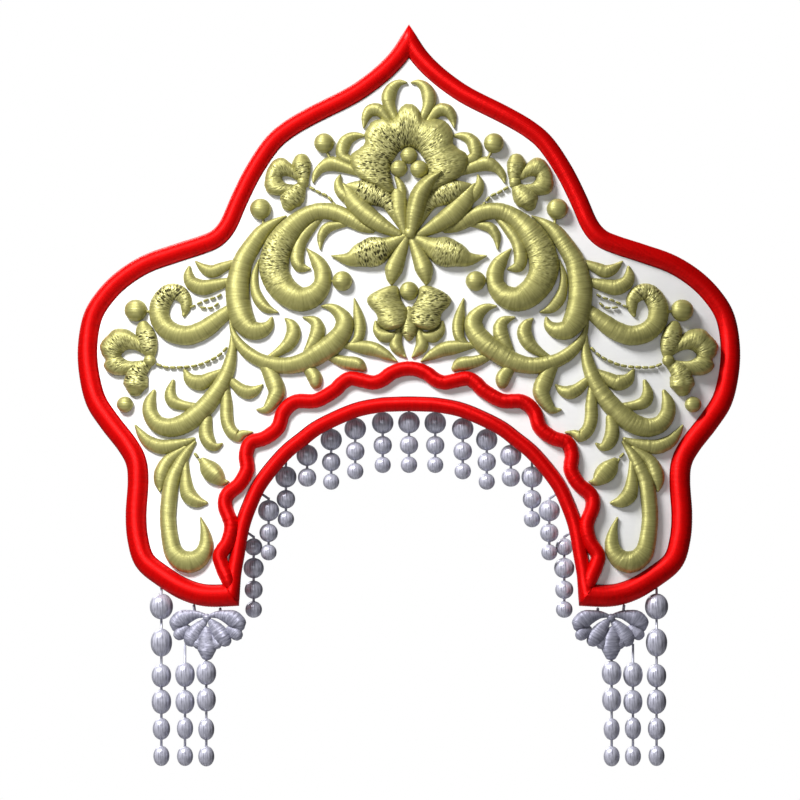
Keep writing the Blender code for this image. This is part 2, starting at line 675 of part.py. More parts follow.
def make_spray(stem, strokes, domes):
    """One group of strokes and berries on the right, and its mirror image on the left."""
    pieces = [stroke(f"{stem}_{index}", points, index) for index, points in enumerate(strokes)]
    pieces += [dome(f"{stem}_dome_{index}", centre, len(strokes) + index) for index, centre in enumerate(domes)]
    right = unite(f"{stem}_right", pieces, gold())
    opposite(right, f"{stem}_left")


def make_bloom():
    """Central flower over the brow: fan, calyx, petals, horns and willow leaves."""
    fan = BLOOM_FAN + flipped_pairs(BLOOM_FAN)[-2::-1]
    pieces = [petal_band("fan", fan, 0)]
    strokes = (
        CALYX_LOWER_ARM, CALYX_UPPER_ARM, INNER_PETAL, WILLOW_LEAF, DOWN_PETAL, UPRIGHT_LEAF,
        SIDE_HORN_UPPER, SIDE_HORN_LOWER, HORN_BERRY_STALK, CREST_HORN_INNER, CREST_HORN_OUTER,
    )
    sink = 1
    for points in strokes:
        pieces.append(stroke("bloom_stroke", points, sink))
        pieces.append(stroke("bloom_stroke", flipped(points), sink + 0.5))
        sink += 1
    pieces.append(stroke("bloom_stroke", flipped(INNER_TIP), sink))
    pieces.append(stroke("bloom_stroke", flipped(TALL_LEAF), sink + 1))
    column, row, radius = HORN_BERRY
    for number, centre in enumerate((BLOOM_KNOT, HORN_BERRY, (-column, row, radius), *BLOOM_BERRIES)):
        pieces.append(dome("bloom_dome", centre, sink + 2 + number))
    unite("gold_bloom", pieces, gold())


def make_bouquet():
    """Small winged flower between the bloom and the brow."""
    pieces = [stroke("petal", BOUQUET_PETAL, 0)]
    pieces.append(petal_band("wing", BOUQUET_WING, 1))
    pieces.append(petal_band("wing", flipped_pairs(BOUQUET_WING), 2))
    for sink, points in ((3, BOUQUET_CUP), (5, BOUQUET_FOOT)):
        pieces.append(stroke("leaf", points, sink))
        pieces.append(stroke("leaf", flipped(points), sink + 1))
    pieces.append(dome("berry", BOUQUET_BERRY, 7))
    unite("gold_bouquet", pieces, gold())


def make_fan():
    """Palmette that hangs under a side lobe, on two short threads."""
    pieces = [dome("hub", FAN_HUB, 0, FAN_BACK)]
    for sink, points in enumerate(FAN_PETALS + FAN_THREADS):
        pieces.append(stroke("petal", points, sink * 0.5, FAN_BACK))
    right = unite("pendant_fan_right", pieces, lilac())
    opposite(right, "pendant_fan_left")


def turned(name, place, profile):
    """Turn a closed outline of radius and height round its own upright line."""
    bm = bmesh.new()
    verts = [bm.verts.new((radius, 0.0, height)) for radius, height in profile]
    edges = [bm.edges.new(pair) for pair in zip(verts, verts[1:])]
    bmesh.ops.spin(
        bm, geom=verts + edges, cent=(0.0, 0.0, 0.0), axis=(0.0, 0.0, 1.0), steps=BEAD_SIDES,
        angle=2 * math.pi, use_merge=True)
    bmesh.ops.translate(bm, verts=bm.verts, vec=place)
    made = add_object(name, mesh_from(name, bm, 1e-6), lilac())
    made.data.shade_smooth()
    return made


def bead_profile(top, beads):
    """Outline of a thread with beads: radius and height from the thread's top down."""
    profile = [(0.0, top), (THREAD_RADIUS, top)]
    for middle, radius, half in beads:
        for share, height in BEAD_OUTLINE:
            wide = THREAD_RADIUS if share is None else radius * share
            if middle + half * height < profile[-1][1] - 1e-5:
                profile.append((wide, middle + half * height))
    profile.append((0.0, profile[-1][1]))
    return profile


def off_line(x, z, line):
    """Distance of a place from a cord's centreline."""
    nearest = math.inf
    for (ax, az, _), (bx, bz, _) in zip(line, line[1:]):
        run_x, run_z = bx - ax, bz - az
        share = ((abs(x) - ax) * run_x + (z - az) * run_z) / (run_x ** 2 + run_z ** 2)
        share = min(max(share, 0.0), 1.0)
        nearest = min(nearest, math.hypot(abs(x) - ax - run_x * share, z - az - run_z * share))
    return nearest


def wall_thread(name, start):
    """Short slanted thread from a bead's top out to the head band's wall."""
    run = Vector((math.copysign(math.cos(THREAD_SLANT), start.x), 0.0, math.sin(THREAD_SLANT)))
    end = start.copy()
    while off_line(end.x, end.z, BROW_PATH) > THREAD_RADIUS + SEAT_GAP:
        end += run * SEAT_GAP / 2
    across = run.cross(Vector((0.0, 1.0, 0.0)))
    rings = []
    for place in (start, end):
        rings.append([
            place + THREAD_RADIUS * (math.cos(turn) * across + math.sin(turn) * Vector((0.0, 1.0, 0.0)))
            for turn in (2 * math.pi * (side + 0.5) / ROUND_SIDES for side in range(ROUND_SIDES))])
    return add_object(name, mesh_from(name, sweep(rings, True, True)), lilac())


def make_fringe():
    """Bead strings that hang from the head band's edge, just behind the brow cord."""
    set_back = FRINGE_SET_BACK * (BROW_CORD_RADIUS + FRINGE_BEAD_RADIUS)
    columns = [-entry[0] for entry in FRINGE[:0:-1]] + [entry[0] for entry in FRINGE]
    entries = list(FRINGE[:0:-1]) + list(FRINGE)
    for number, (column, entry) in enumerate(zip(columns, entries), start=1):
        _, first_row, shares = entry
        x, first = chart(column, first_row)
        seat = min(
            read_knots(abs(x) + THREAD_RADIUS * side, [(ax, az) for ax, az, _ in BROW_PATH])
            for side in (-1.0, 1.0))
        middle, beads = first, []
        for index, share in enumerate(shares):
            radius = FRINGE_BEAD_RADIUS * share
            if index:
                middle -= FRINGE_BEAD_RADIUS * shares[index - 1] + BEAD_SPACE + radius
            beads.append((middle, radius, radius))
        stagger = FRINGE_STAGGER * (FRINGE.index(entry) % 2)
        place = Vector((x, front(x, seat).y + set_back + stagger, 0.0))
        name = f"fringe_strand_{number:02d}"
        top = seat - SEAT_GAP
        crown = first + beads[0][1]
        if top - crown < LONGEST_THREAD:
            turned(name, place, bead_profile(top, beads))
            continue
        top = crown + 2 * THREAD_RADIUS
        string = turned("string", place, bead_profile(top, beads))
        thread = wall_thread("thread", Vector((x, place.y, top - THREAD_RADIUS)))
        unite(name, [string, thread], lilac())


def make_pendants():
    """Strings of oval beads under each side lobe."""
    for side, sign in (("left", -1.0), ("right", 1.0)):
        for name, column, top_row, rows in PENDANTS:
            x, top = chart(column * sign, top_row)
            beads = []
            for row, radius, half in rows:
                _, middle = chart(column, row)
                beads.append((middle, PENDANT_BEAD_RADIUS * radius, PENDANT_BEAD_RADIUS * half))
            place = front(x, -ARCH_DROP)
            place.z = 0.0
            turned(f"pendant_strand_{side}_{name}", place, bead_profile(top, beads))


def build():
    """Make every piece of the headdress."""
    for item in list(bpy.data.objects):
        bpy.data.objects.remove(item, do_unlink=True)
    make_plate()
    make_cord("edge_cord", EDGE_PATH)
    make_cord("brow_cord", BROW_PATH)
    make_wave_cord()
    make_head_band()
    make_bloom()
    make_bouquet()
    make_spray(
        "gold_scroll",
        (MAIN_SCROLL, INNER_CRESCENT, SMALL_CRESCENT, SCROLL_BERRY_STALK, FLOWER_UPPER_PETAL, FLOWER_RING,
         FLOWER_LOWER_PETAL, FLOWER_STEM),
        (SCROLL_BERRY, FLOWER_KNOT))
    make_spray(
        "gold_side_spray",
        (C_SCROLL, SPRAY_BERRY_STALK, SIDE_CRESCENT_UPPER, SIDE_CRESCENT_LOWER, SIDE_VOLUTE, SIDE_BERRY_STALK),
        (SPRAY_BERRY, SIDE_BERRY))
    make_spray(
        "gold_lower_scroll",
        (LOWER_SCROLL, LOWER_CRESCENT_OUTER, LOWER_CRESCENT_INNER, LOWER_RIGHT_CRESCENT, LOWER_RIGHT_LEAF,
         UNDER_LEAF_INNER, UNDER_LEAF_MIDDLE, UNDER_LEAF_OUTER),
        ())
    make_spray(
        "gold_vine",
        (VINE, VINE_LEAF_HIGH, VINE_LEAF_LOW, VINE_LEAF_INNER, VINE_LEAF_LONG, VINE_LEAF_FOOT, VINE_STEM,
         SIDE_FLOWER_UPPER_PETAL, SIDE_FLOWER_RING, SIDE_FLOWER_LOWER_PETAL),
        (SIDE_FLOWER_KNOT, SIDE_FLOWER_BERRY))
    make_spray(
        "gold_foot_spray",
        (FOOT_SCROLL, FOOT_SIDE_LEAF, FOOT_INNER_LEAF, LOWER_LEFT_LEAF, DROP_LEAF, DROP_LEAF_STALK),
        ())
    make_fan()
    make_fringe()
    make_pendants()


build()
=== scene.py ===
"""Looks of a kokoshnik headdress: white satin crown, red satin cords, gold stitch work, beads.

Metres, +Z up, front towards -Y. The front is drawn on an embroidery chart whose columns count
outward from the middle and whose rows count up from the brow.
"""

import logging
import math
import random
from collections.abc import Callable, Sequence
from dataclasses import dataclass, field
from enum import Enum
from typing import NamedTuple

import bmesh
import bpy
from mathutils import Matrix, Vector


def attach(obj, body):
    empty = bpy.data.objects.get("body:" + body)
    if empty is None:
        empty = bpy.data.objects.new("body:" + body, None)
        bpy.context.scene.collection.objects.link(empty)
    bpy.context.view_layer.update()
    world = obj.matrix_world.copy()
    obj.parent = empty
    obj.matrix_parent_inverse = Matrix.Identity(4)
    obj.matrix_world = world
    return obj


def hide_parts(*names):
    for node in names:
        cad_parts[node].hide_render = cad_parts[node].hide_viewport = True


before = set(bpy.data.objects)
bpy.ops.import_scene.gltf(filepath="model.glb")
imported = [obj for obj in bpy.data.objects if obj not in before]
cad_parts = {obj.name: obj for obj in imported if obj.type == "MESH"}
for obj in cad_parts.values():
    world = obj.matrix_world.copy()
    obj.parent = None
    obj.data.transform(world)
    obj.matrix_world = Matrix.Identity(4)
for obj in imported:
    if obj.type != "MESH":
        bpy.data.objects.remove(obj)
LOG = logging.getLogger("kokoshnik")

Colour = tuple[float, float, float]
Section = tuple[float, float, float]
Widths = tuple[Section, ...]
Pairs = tuple[tuple[float, float, float, float], ...]

# Steps of a curve between two places of the chart
CURVE_STEPS = 10
# Distances under which corners are merged, in any piece, in slivers and at a seam
MERGE = 2e-6
SLIVER = 1e-6
SEAM = 2e-5
# Length that stands for none where one is divided by
TINY = 1e-9
# Fewest steps of an evenly spaced curve
FEWEST_STEPS = 4

# Centrelines on the chart: column, row
EDGE_LINE = (
    (0, 362), (10, 347), (23, 333), (40, 319), (60, 306), (96, 288), (120, 274), (137, 259),
    (155, 232), (169, 204), (180, 179), (191, 166), (206, 159), (234, 150), (262, 140),
    (286, 125), (304, 107), (316, 87), (321, 60), (320, 33), (313, 4), (299, -18),
    (281, -41), (272, -58), (270, -78), (272, -111), (270, -136), (263, -157),
    (245, -172), (223, -185), (200, -191), (169, -190),
)
EDGE_SLIM_ROWS = (190.0, 0.0)
EDGE_SLIM_SHARE = 0.84
BROW_LINE = (
    (0, 0), (15, -0.4), (30, -1.5), (55, -7), (88, -22), (106, -35), (125, -51), (147, -78),
    (158, -100), (166, -123), (171, -151), (174, -168), (175, -178),
)
BROW_FOOT = (176.5, -196)
CORNER_MITRE = ((169.0, -201.5), (184.5, -179.8))
WAVE_LINE = (
    (0, 35), (8, 34), (18, 30), (26, 24), (35, 21), (46, 23), (58, 25), (67, 20), (74, 13),
    (92, 3), (112, 2), (124, -8), (130, -24), (142.5, -34), (156.5, -39), (161.5, -51), (160.5, -66),
    (168, -80), (180, -91), (182, -103), (176, -121), (179, -137), (187, -151), (185, -162),
    (180, -174), (177, -188),
)

# Raised work on the chart. A stroke has column, row and width in squares for each section, a band its
# outer column and row, then its inner column and row, and a berry or a knot has column, row and radius.
CREST_HORN_INNER = ((12, 281, 7), (19, 296, 12), (20, 306, 15), (16, 315, 12), (9, 320, 7), (2, 320, 2))
CREST_HORN_OUTER = ((19, 281, 7), (29, 292, 13), (38, 292, 13), (43, 285, 9), (45, 275, 2))
SIDE_HORN_UPPER = ((49, 238, 8), (65, 246, 12), (65, 257, 14), (60, 264, 12), (52, 267, 8), (43, 267, 2))
SIDE_HORN_LOWER = ((48, 230, 8), (67, 237, 13), (78, 239, 15), (88, 234, 10), (93, 227, 7), (95, 220, 2))
HORN_BERRY = (84, 259.5, 10)
HORN_BERRY_STALK = ((84, 257, 3), (79, 246, 3), (75, 240, 3))
UPRIGHT_LEAF = ((50, 200, 8), (61, 205, 12), (68, 213, 12), (70, 221, 8), (68, 228, 2))
WILLOW_LEAF = ((3, 167, 7), (19, 158, 17), (33, 152, 30), (47, 148, 25), (60, 144, 14), (76, 147, 2))
DOWN_PETAL = ((2, 166, 7), (10, 147, 15), (15, 134, 18), (17, 124, 11), (17, 119, 4))
CALYX_LOWER_ARM = ((9, 168, 7), (27, 177.5, 16), (43, 189, 20), (54, 201, 20), (61, 212, 11), (65, 219, 3))
CALYX_UPPER_ARM = (
    (61, 217, 6), (50, 214, 18), (40, 210, 23), (30, 206, 20), (21, 200, 15), (15, 190, 11), (8, 176, 6),
)
INNER_PETAL = ((4, 169, 6), (9, 188, 15), (10, 201, 17), (11, 210, 14))
INNER_TIP = ((7, 205, 9), (8, 216, 9), (13, 226, 4))
TALL_LEAF = ((-2, 169, 9), (-6, 190, 18), (-11, 208, 19), (-20, 221, 14), (-31, 230, 4))
BLOOM_KNOT = (1, 170, 6)
BLOOM_BERRIES = ((0, 247, 8.5), (10, 233.5, 9), (-10, 234, 8.5))
BLOOM_FAN = (
    (22, 208, 13, 210), (35, 216, 15, 216), (52, 227, 17, 225), (59, 240, 18, 232), (57, 249, 17, 239),
    (50, 254, 15, 243), (44, 260, 13, 246), (44, 270, 11, 249), (38, 280, 9, 251), (28, 284, 7, 253),
    (17, 283, 5, 254), (12, 287, 4, 255), (10, 293, 2, 255), (5, 298, 1, 255), (0, 299, 0, 255),
)
BOUQUET_WING = (
    (18, 118.5, 10, 117), (30, 113.5, 9.5, 112), (39, 108, 8.5, 107), (42, 102.5, 7, 102.5),
    (39, 96.5, 4, 98), (33.5, 91, 1.5, 94), (31.5, 86, 0.5, 90), (31.5, 81, 0.5, 86),
    (28.5, 76, 1, 82), (21.5, 72.5, 2.5, 79), (13, 73, 4, 77),
)
BOUQUET_PETAL = ((0, 95, 7), (0, 87, 12), (0, 78, 17), (0, 70, 15), (0, 65, 9))
BOUQUET_CUP = ((33, 82, 3), (31.5, 73, 9), (24, 67, 13), (15, 68, 9), (9, 74, 4))
BOUQUET_FOOT = ((10, 71, 8), (13, 59, 13), (9, 52, 10), (3, 46, 2))
BOUQUET_BERRY = (0, 112, 9.5)

MAIN_SCROLL = (
    (35, 172, 5), (46, 176, 11), (57, 183, 16), (72, 190, 17), (87, 192, 17), (100, 188, 18),
    (112, 179, 22), (123, 166, 27), (131, 152, 29), (134, 136, 30), (130, 122, 29), (120, 110, 27),
    (107, 104, 25), (94, 108, 22), (86, 119, 18), (86, 132, 17), (92, 143, 13), (101, 154, 2),
)
INNER_CRESCENT = (
    (86, 187, 5), (100, 172, 11), (108, 160, 13), (111, 146, 14), (108, 136.5, 12), (98, 134, 3),
)
SMALL_CRESCENT = ((56, 180, 5), (70, 178, 8), (81, 175, 11), (87, 166, 9), (88, 154, 2))
SCROLL_BERRY = (66, 122, 10)
SCROLL_BERRY_STALK = ((66, 122, 3), (76, 122, 3), (86, 122, 3))
FLOWER_UPPER_PETAL = ((104, 219, 8), (105, 230, 15), (106.5, 239, 19), (106.5, 244, 16))
FLOWER_RING = (
    (105, 228, 106, 222), (111, 234, 112, 223), (118, 240.5, 116, 225), (126, 245.5, 120, 226.5),
    (134.5, 242.5, 123, 226.5), (141, 233, 125, 226), (143, 223, 125.5, 224), (143.5, 217, 124, 221.5),
    (140, 210, 121, 219.5), (132, 207.5, 117, 219), (121, 208, 113, 218.5), (111, 212, 109, 219),
    (105, 217, 105, 221),
)
FLOWER_LOWER_PETAL = ((105, 219, 8), (112, 209, 21), (118, 202, 22), (120, 197, 15))
FLOWER_KNOT = (105, 221, 6)
FLOWER_STEM = ((105, 219, 3), (95, 214, 3), (88, 210, 3), (80, 206, 3), (72, 196, 3))

C_SCROLL = (
    (122, 187, 2), (133, 181, 8), (145, 171.5, 15), (155, 158, 18), (164, 143, 20), (168, 129, 22),
    (170, 114, 24), (169, 99, 24), (165, 84, 24), (157, 74, 20), (147, 73, 17), (139, 78, 11),
    (136, 86, 3),
)
SPRAY_BERRY = (147, 194, 10.5)
SPRAY_BERRY_STALK = ((147, 194, 3), (145, 184, 3), (144, 174, 3))
SIDE_CRESCENT_UPPER = ((168, 143, 5), (185, 136, 11), (195, 132, 13), (204, 135, 10), (212, 142, 2))
SIDE_CRESCENT_LOWER = (
    (172, 124, 6), (193, 118, 13), (206, 116, 16), (216, 121, 14), (219, 129, 10), (218, 137, 3),
)
SIDE_VOLUTE = (
    (172, 98, 10), (192, 82, 17), (205, 73, 19), (220, 68, 20), (235, 71, 20), (245, 80, 20), (248, 92, 20),
    (245, 103, 20), (237, 111, 18), (228, 110, 16), (222, 103, 13), (222, 94, 9), (224, 87, 3),
)
SIDE_BERRY = (271, 93, 11)
BETWEEN_LEAF = ((149, 143, 2), (153, 129, 7), (153, 116, 9), (149, 104, 12), (141, 95, 10), (130, 91, 2))
JUMP_THREADS = (((217, 96, 2.4), (202, 103, 2.4), (189, 107, 2.4), (182, 114, 2.4)),
                ((207, 96, 2.4), (195, 96, 2.4), (185, 104, 2.4)))
SIDE_BERRY_STALK = ((271, 93, 3), (260, 92, 3), (249, 92, 3))

LOWER_SCROLL = (
    (177.5, 84, 2), (174.5, 71, 6), (168.5, 60, 10), (160, 51, 13), (149, 44, 14), (135, 39, 16),
    (119, 38, 17), (103, 42, 19), (89, 50, 21), (76, 59, 22), (66, 71, 20), (64, 82, 18), (70, 91, 13),
    (78, 96, 8), (87, 97, 2),
)
LOWER_CRESCENT_OUTER = (
    (144, 43, 4), (130, 51, 9), (119, 60, 14), (114.5, 70.5, 15), (117, 79, 11), (123, 85, 2),
)
LOWER_CRESCENT_INNER = (
    (106, 45, 4), (94, 62, 14), (90.5, 73.5, 15), (94, 82, 11), (105, 86, 2),
)
LOWER_RIGHT_CRESCENT = ((54, 104, 2), (50.5, 89, 10), (48.5, 76, 12), (51, 64, 10), (61, 56, 5))
LOWER_RIGHT_LEAF = ((64, 58, 6), (45, 56, 14), (33, 53.5, 14), (22, 48, 10), (12, 42, 2))
UNDER_LEAF_INNER = ((84, 49, 6), (66, 42, 12), (51, 39, 14), (44, 32, 7))
UNDER_LEAF_MIDDLE = ((104, 40, 9), (94, 27, 15), (91, 17, 12))
UNDER_LEAF_OUTER = ((143, 40, 12), (135, 24, 17), (131, 12, 17), (134, 1, 14), (142, -6, 9), (151, -6, 2))

VINE = (
    (176, 68, 3), (175.2, 56, 8), (177, 43, 12), (180.5, 31, 14.5), (187, 17, 16.5), (198, 1.5, 18.5),
    (210, -11, 20), (223, -20, 20), (237, -24, 19), (250, -20, 17), (257, -9, 15), (257, 2, 12),
    (253, 13, 4),
)
VINE_LEAF_HIGH = ((182, 34, 5), (195, 27, 11), (206, 21, 16), (217, 24, 13), (223, 34, 3))
VINE_LEAF_LOW = ((206, -4, 8), (223, -2, 10), (234, 2, 13), (237, 11, 11), (234, 23, 4))
VINE_LEAF_INNER = (
    (179, 26, 6), (173, 19.5, 10), (166, 13.5, 13), (158.5, 11.2, 14), (151.5, 13.5, 10), (145, 19, 2),
)
VINE_LEAF_LONG = (
    (182, 20, 7), (181, 0, 12), (181, -11, 13), (179.5, -21, 13), (175.5, -28.5, 13), (169, -32.5, 12),
    (162, -32.5, 8), (155, -28.5, 2),
)
VINE_LEAF_FOOT = (
    (199.5, -13, 9), (201.5, -25, 13.5), (200.5, -34, 14.5), (196.5, -40.5, 13), (190.5, -43, 8),
    (185, -39.5, 2),
)
VINE_STEM = (
    (257, 43, 3), (247, 38, 3), (237, 36, 3), (217, 37, 3), (207, 39, 3), (195, 44, 3), (187, 49, 3),
    (180, 56, 3),
)
SIDE_FLOWER_UPPER_PETAL = ((256, 46, 8), (257.5, 54, 16), (260, 64, 20), (263, 74, 17), (264, 79, 12))
SIDE_FLOWER_RING = (
    (256, 52, 257, 44), (264, 63, 263, 48.5), (273, 70, 270, 52.5), (281, 74.5, 276, 54),
    (292, 74.5, 280, 53.5), (300, 67.5, 283, 52), (306.5, 59, 285.5, 49.5), (305, 49, 286, 47.5),
    (301.5, 44, 285, 46.5), (303, 37, 283, 45), (297, 30, 280, 43.5), (287, 28, 275, 42.5),
    (274, 30, 268, 43), (259, 36, 258, 43),
)
SIDE_FLOWER_LOWER_PETAL = ((259, 40, 10), (268, 33, 20), (270.5, 24, 23), (271.5, 18, 24), (272, 13, 17))
SIDE_FLOWER_KNOT = (257, 43, 6)
SIDE_FLOWER_BERRY = (281.5, -1, 8)

FOOT_SCROLL = (
    (212, -38, 3), (220, -48, 9), (228, -62, 13), (235, -78, 15), (238, -96, 16), (239, -116, 16),
    (236.5, -137, 17), (233, -148.5, 19), (226.5, -155.5, 21), (218.3, -158, 22), (210, -155.5, 20),
    (203.5, -148.5, 17), (201, -139, 14), (202.5, -127, 9), (206.5, -114, 2),
)
FOOT_SIDE_LEAF = ((222, -44, 6), (238, -56, 12), (245, -68, 15), (247.5, -79, 11), (247, -88, 2))
FOOT_INNER_LEAF = (
    (222, -54, 6), (221.5, -70, 9), (220.5, -84, 14), (217, -93, 16), (209, -98, 12), (200, -99, 3),
)
LOWER_LEFT_LEAF = (
    (213, -35, 4), (222, -38.5, 8), (235, -42, 13), (247, -43, 15), (259, -38, 13), (267, -29.5, 8),
    (272, -21.5, 2),
)
DROP_LEAF = ((205, -56, 7), (199, -64, 18), (192, -71.5, 19), (184, -78, 9), (176, -79.5, 2))
DROP_LEAF_STALK = ((206, -60, 3), (209, -54, 3), (216, -46, 3))

FAN_PETALS = (
    ((203, -211, 4), (211, -210, 8), (219, -211.5, 13), (226, -214, 17), (231, -219, 16), (232, -224, 10)),
    ((221, -223, 9), (227, -228, 13), (230, -231, 12)),
    ((203, -216, 6), (209, -223, 13), (215, -231, 17), (218, -237, 14)),
    ((205, -231, 10), (210, -240, 13)),
    ((197, -231, 10), (191, -240, 12)),
    ((202, -224, 8), (201.5, -233, 17), (201, -243, 19), (201, -251, 13)),
    ((198, -216, 6), (192, -223, 13), (186, -231, 16), (182, -237, 13)),
    ((179, -224, 9), (173, -228, 13), (170, -231, 12)),
    ((198, -211, 4), (190, -210, 8), (182, -211.5, 13), (175, -214, 17), (169, -219, 15), (168, -223, 10)),
)
FAN_HUB = (201, -213, 4)
FAN_THREADS = (((214, -199.0, 2.4), (213, -211, 2.4)), ((188, -201.7, 2.4), (188, -213, 2.4)))

# Fringe strings: column, row of the first bead's middle, bead radii as shares of the largest
FRINGE: tuple[tuple[float, float, tuple[float, ...]], ...] = (
    (0.0, -18.5, (1.00, 0.85, 0.76)),
    (26.2, -18.8, (1.00, 0.85, 0.75)),
    (53.6, -24.7, (1.00, 0.86, 0.76)),
    (77.6, -35.6, (0.99, 0.85, 0.75)),
    (101.6, -51.2, (0.98, 0.85)),
    (122.8, -72.8, (0.98, 0.86, 0.76)),
    (140.0, -106.4, (0.98, 0.85, 0.74)),
    (155.0, -142.6, (0.80, 0.94, 0.84, 0.77)),
)

# Pendant strings: name, column, row of the top, beads as row, radius and half height shares
PENDANTS: tuple[tuple[str, float, float, Widths], ...] = (
    ("outer", 247.0, -183.6, ((-202, 1.00, 1.11), (-238, 0.92, 1.20), (-271, 0.84, 1.00),
                              (-297, 0.84, 1.05), (-324, 0.75, 0.94), (-351, 0.69, 0.87))),
    ("middle", 223.3, -239.0, ((-269.8, 0.84, 1.06), (-297, 0.82, 1.02), (-323.3, 0.70, 0.94),
                               (-351, 0.69, 0.85))),
    ("inner", 202.0, -252.8, ((-268, 0.85, 1.04), (-294.6, 0.82, 1.02), (-324, 0.69, 0.94),
                              (-351, 0.69, 0.87))),
)


def blend(points: Sequence[tuple[float, ...]], steps: int) -> list[tuple[float, ...]]:
    """Pass a smooth curve through places of any number of values.

    Args:
        points: The places to pass through.
        steps: Steps between each two places.

    Returns:
        The places on the curve.
    """
    path: list[tuple[float, ...]] = []
    last = len(points) - 1
    for index in range(last):
        span = (points[max(index - 1, 0)], points[index], points[index + 1], points[min(index + 2, last)])
        for step in range(steps):
            t = step / steps
            path.append(tuple(
                0.5 * (2 * b + (c - a) * t + (2 * a - 5 * b + 4 * c - d) * t ** 2
                       + (3 * b - a - 3 * c + d) * t ** 3)
                for a, b, c, d in zip(*span)))
    path.append(tuple(float(value) for value in points[-1]))
    return path


def spaced(points: Sequence[tuple[float, ...]], gap: float) -> list[tuple[float, ...]]:
    """Set places at even steps along a curve.

    Args:
        points: Places of the curve, whose first two values are its position.
        gap: Wanted distance between the places.

    Returns:
        Evenly spaced places, each with its length along the curve added as a last value.
    """
    runs = [0.0]
    for first, second in zip(points, points[1:]):
        runs.append(runs[-1] + math.hypot(second[0] - first[0], second[1] - first[1]))
    count = max(int(round(runs[-1] / gap)), FEWEST_STEPS)
    placed: list[tuple[float, ...]] = []
    at = 0
    for number in range(count + 1):
        along = runs[-1] * number / count
        while at < len(points) - 2 and runs[at + 1] < along:
            at += 1
        run = max(runs[at + 1] - runs[at], 1e-12)
        share = min(max((along - runs[at]) / run, 0.0), 1.0)
        placed.append((*(a + (b - a) * share for a, b in zip(points[at], points[at + 1])), along))
    return placed


def heading(path: Sequence[tuple[float, ...]], index: int, reach: int = 1) -> Vector:
    """Direction of a path at one of its places.

    Args:
        path: Places whose first two values are their position.
        index: Number of the place.
        reach: How many places away the direction is read, on both sides.

    Returns:
        The direction, of length one.
    """
    before, after = path[max(index - reach, 0)], path[min(index + reach, len(path) - 1)]
    return Vector((after[0] - before[0], after[1] - before[1])).normalized()


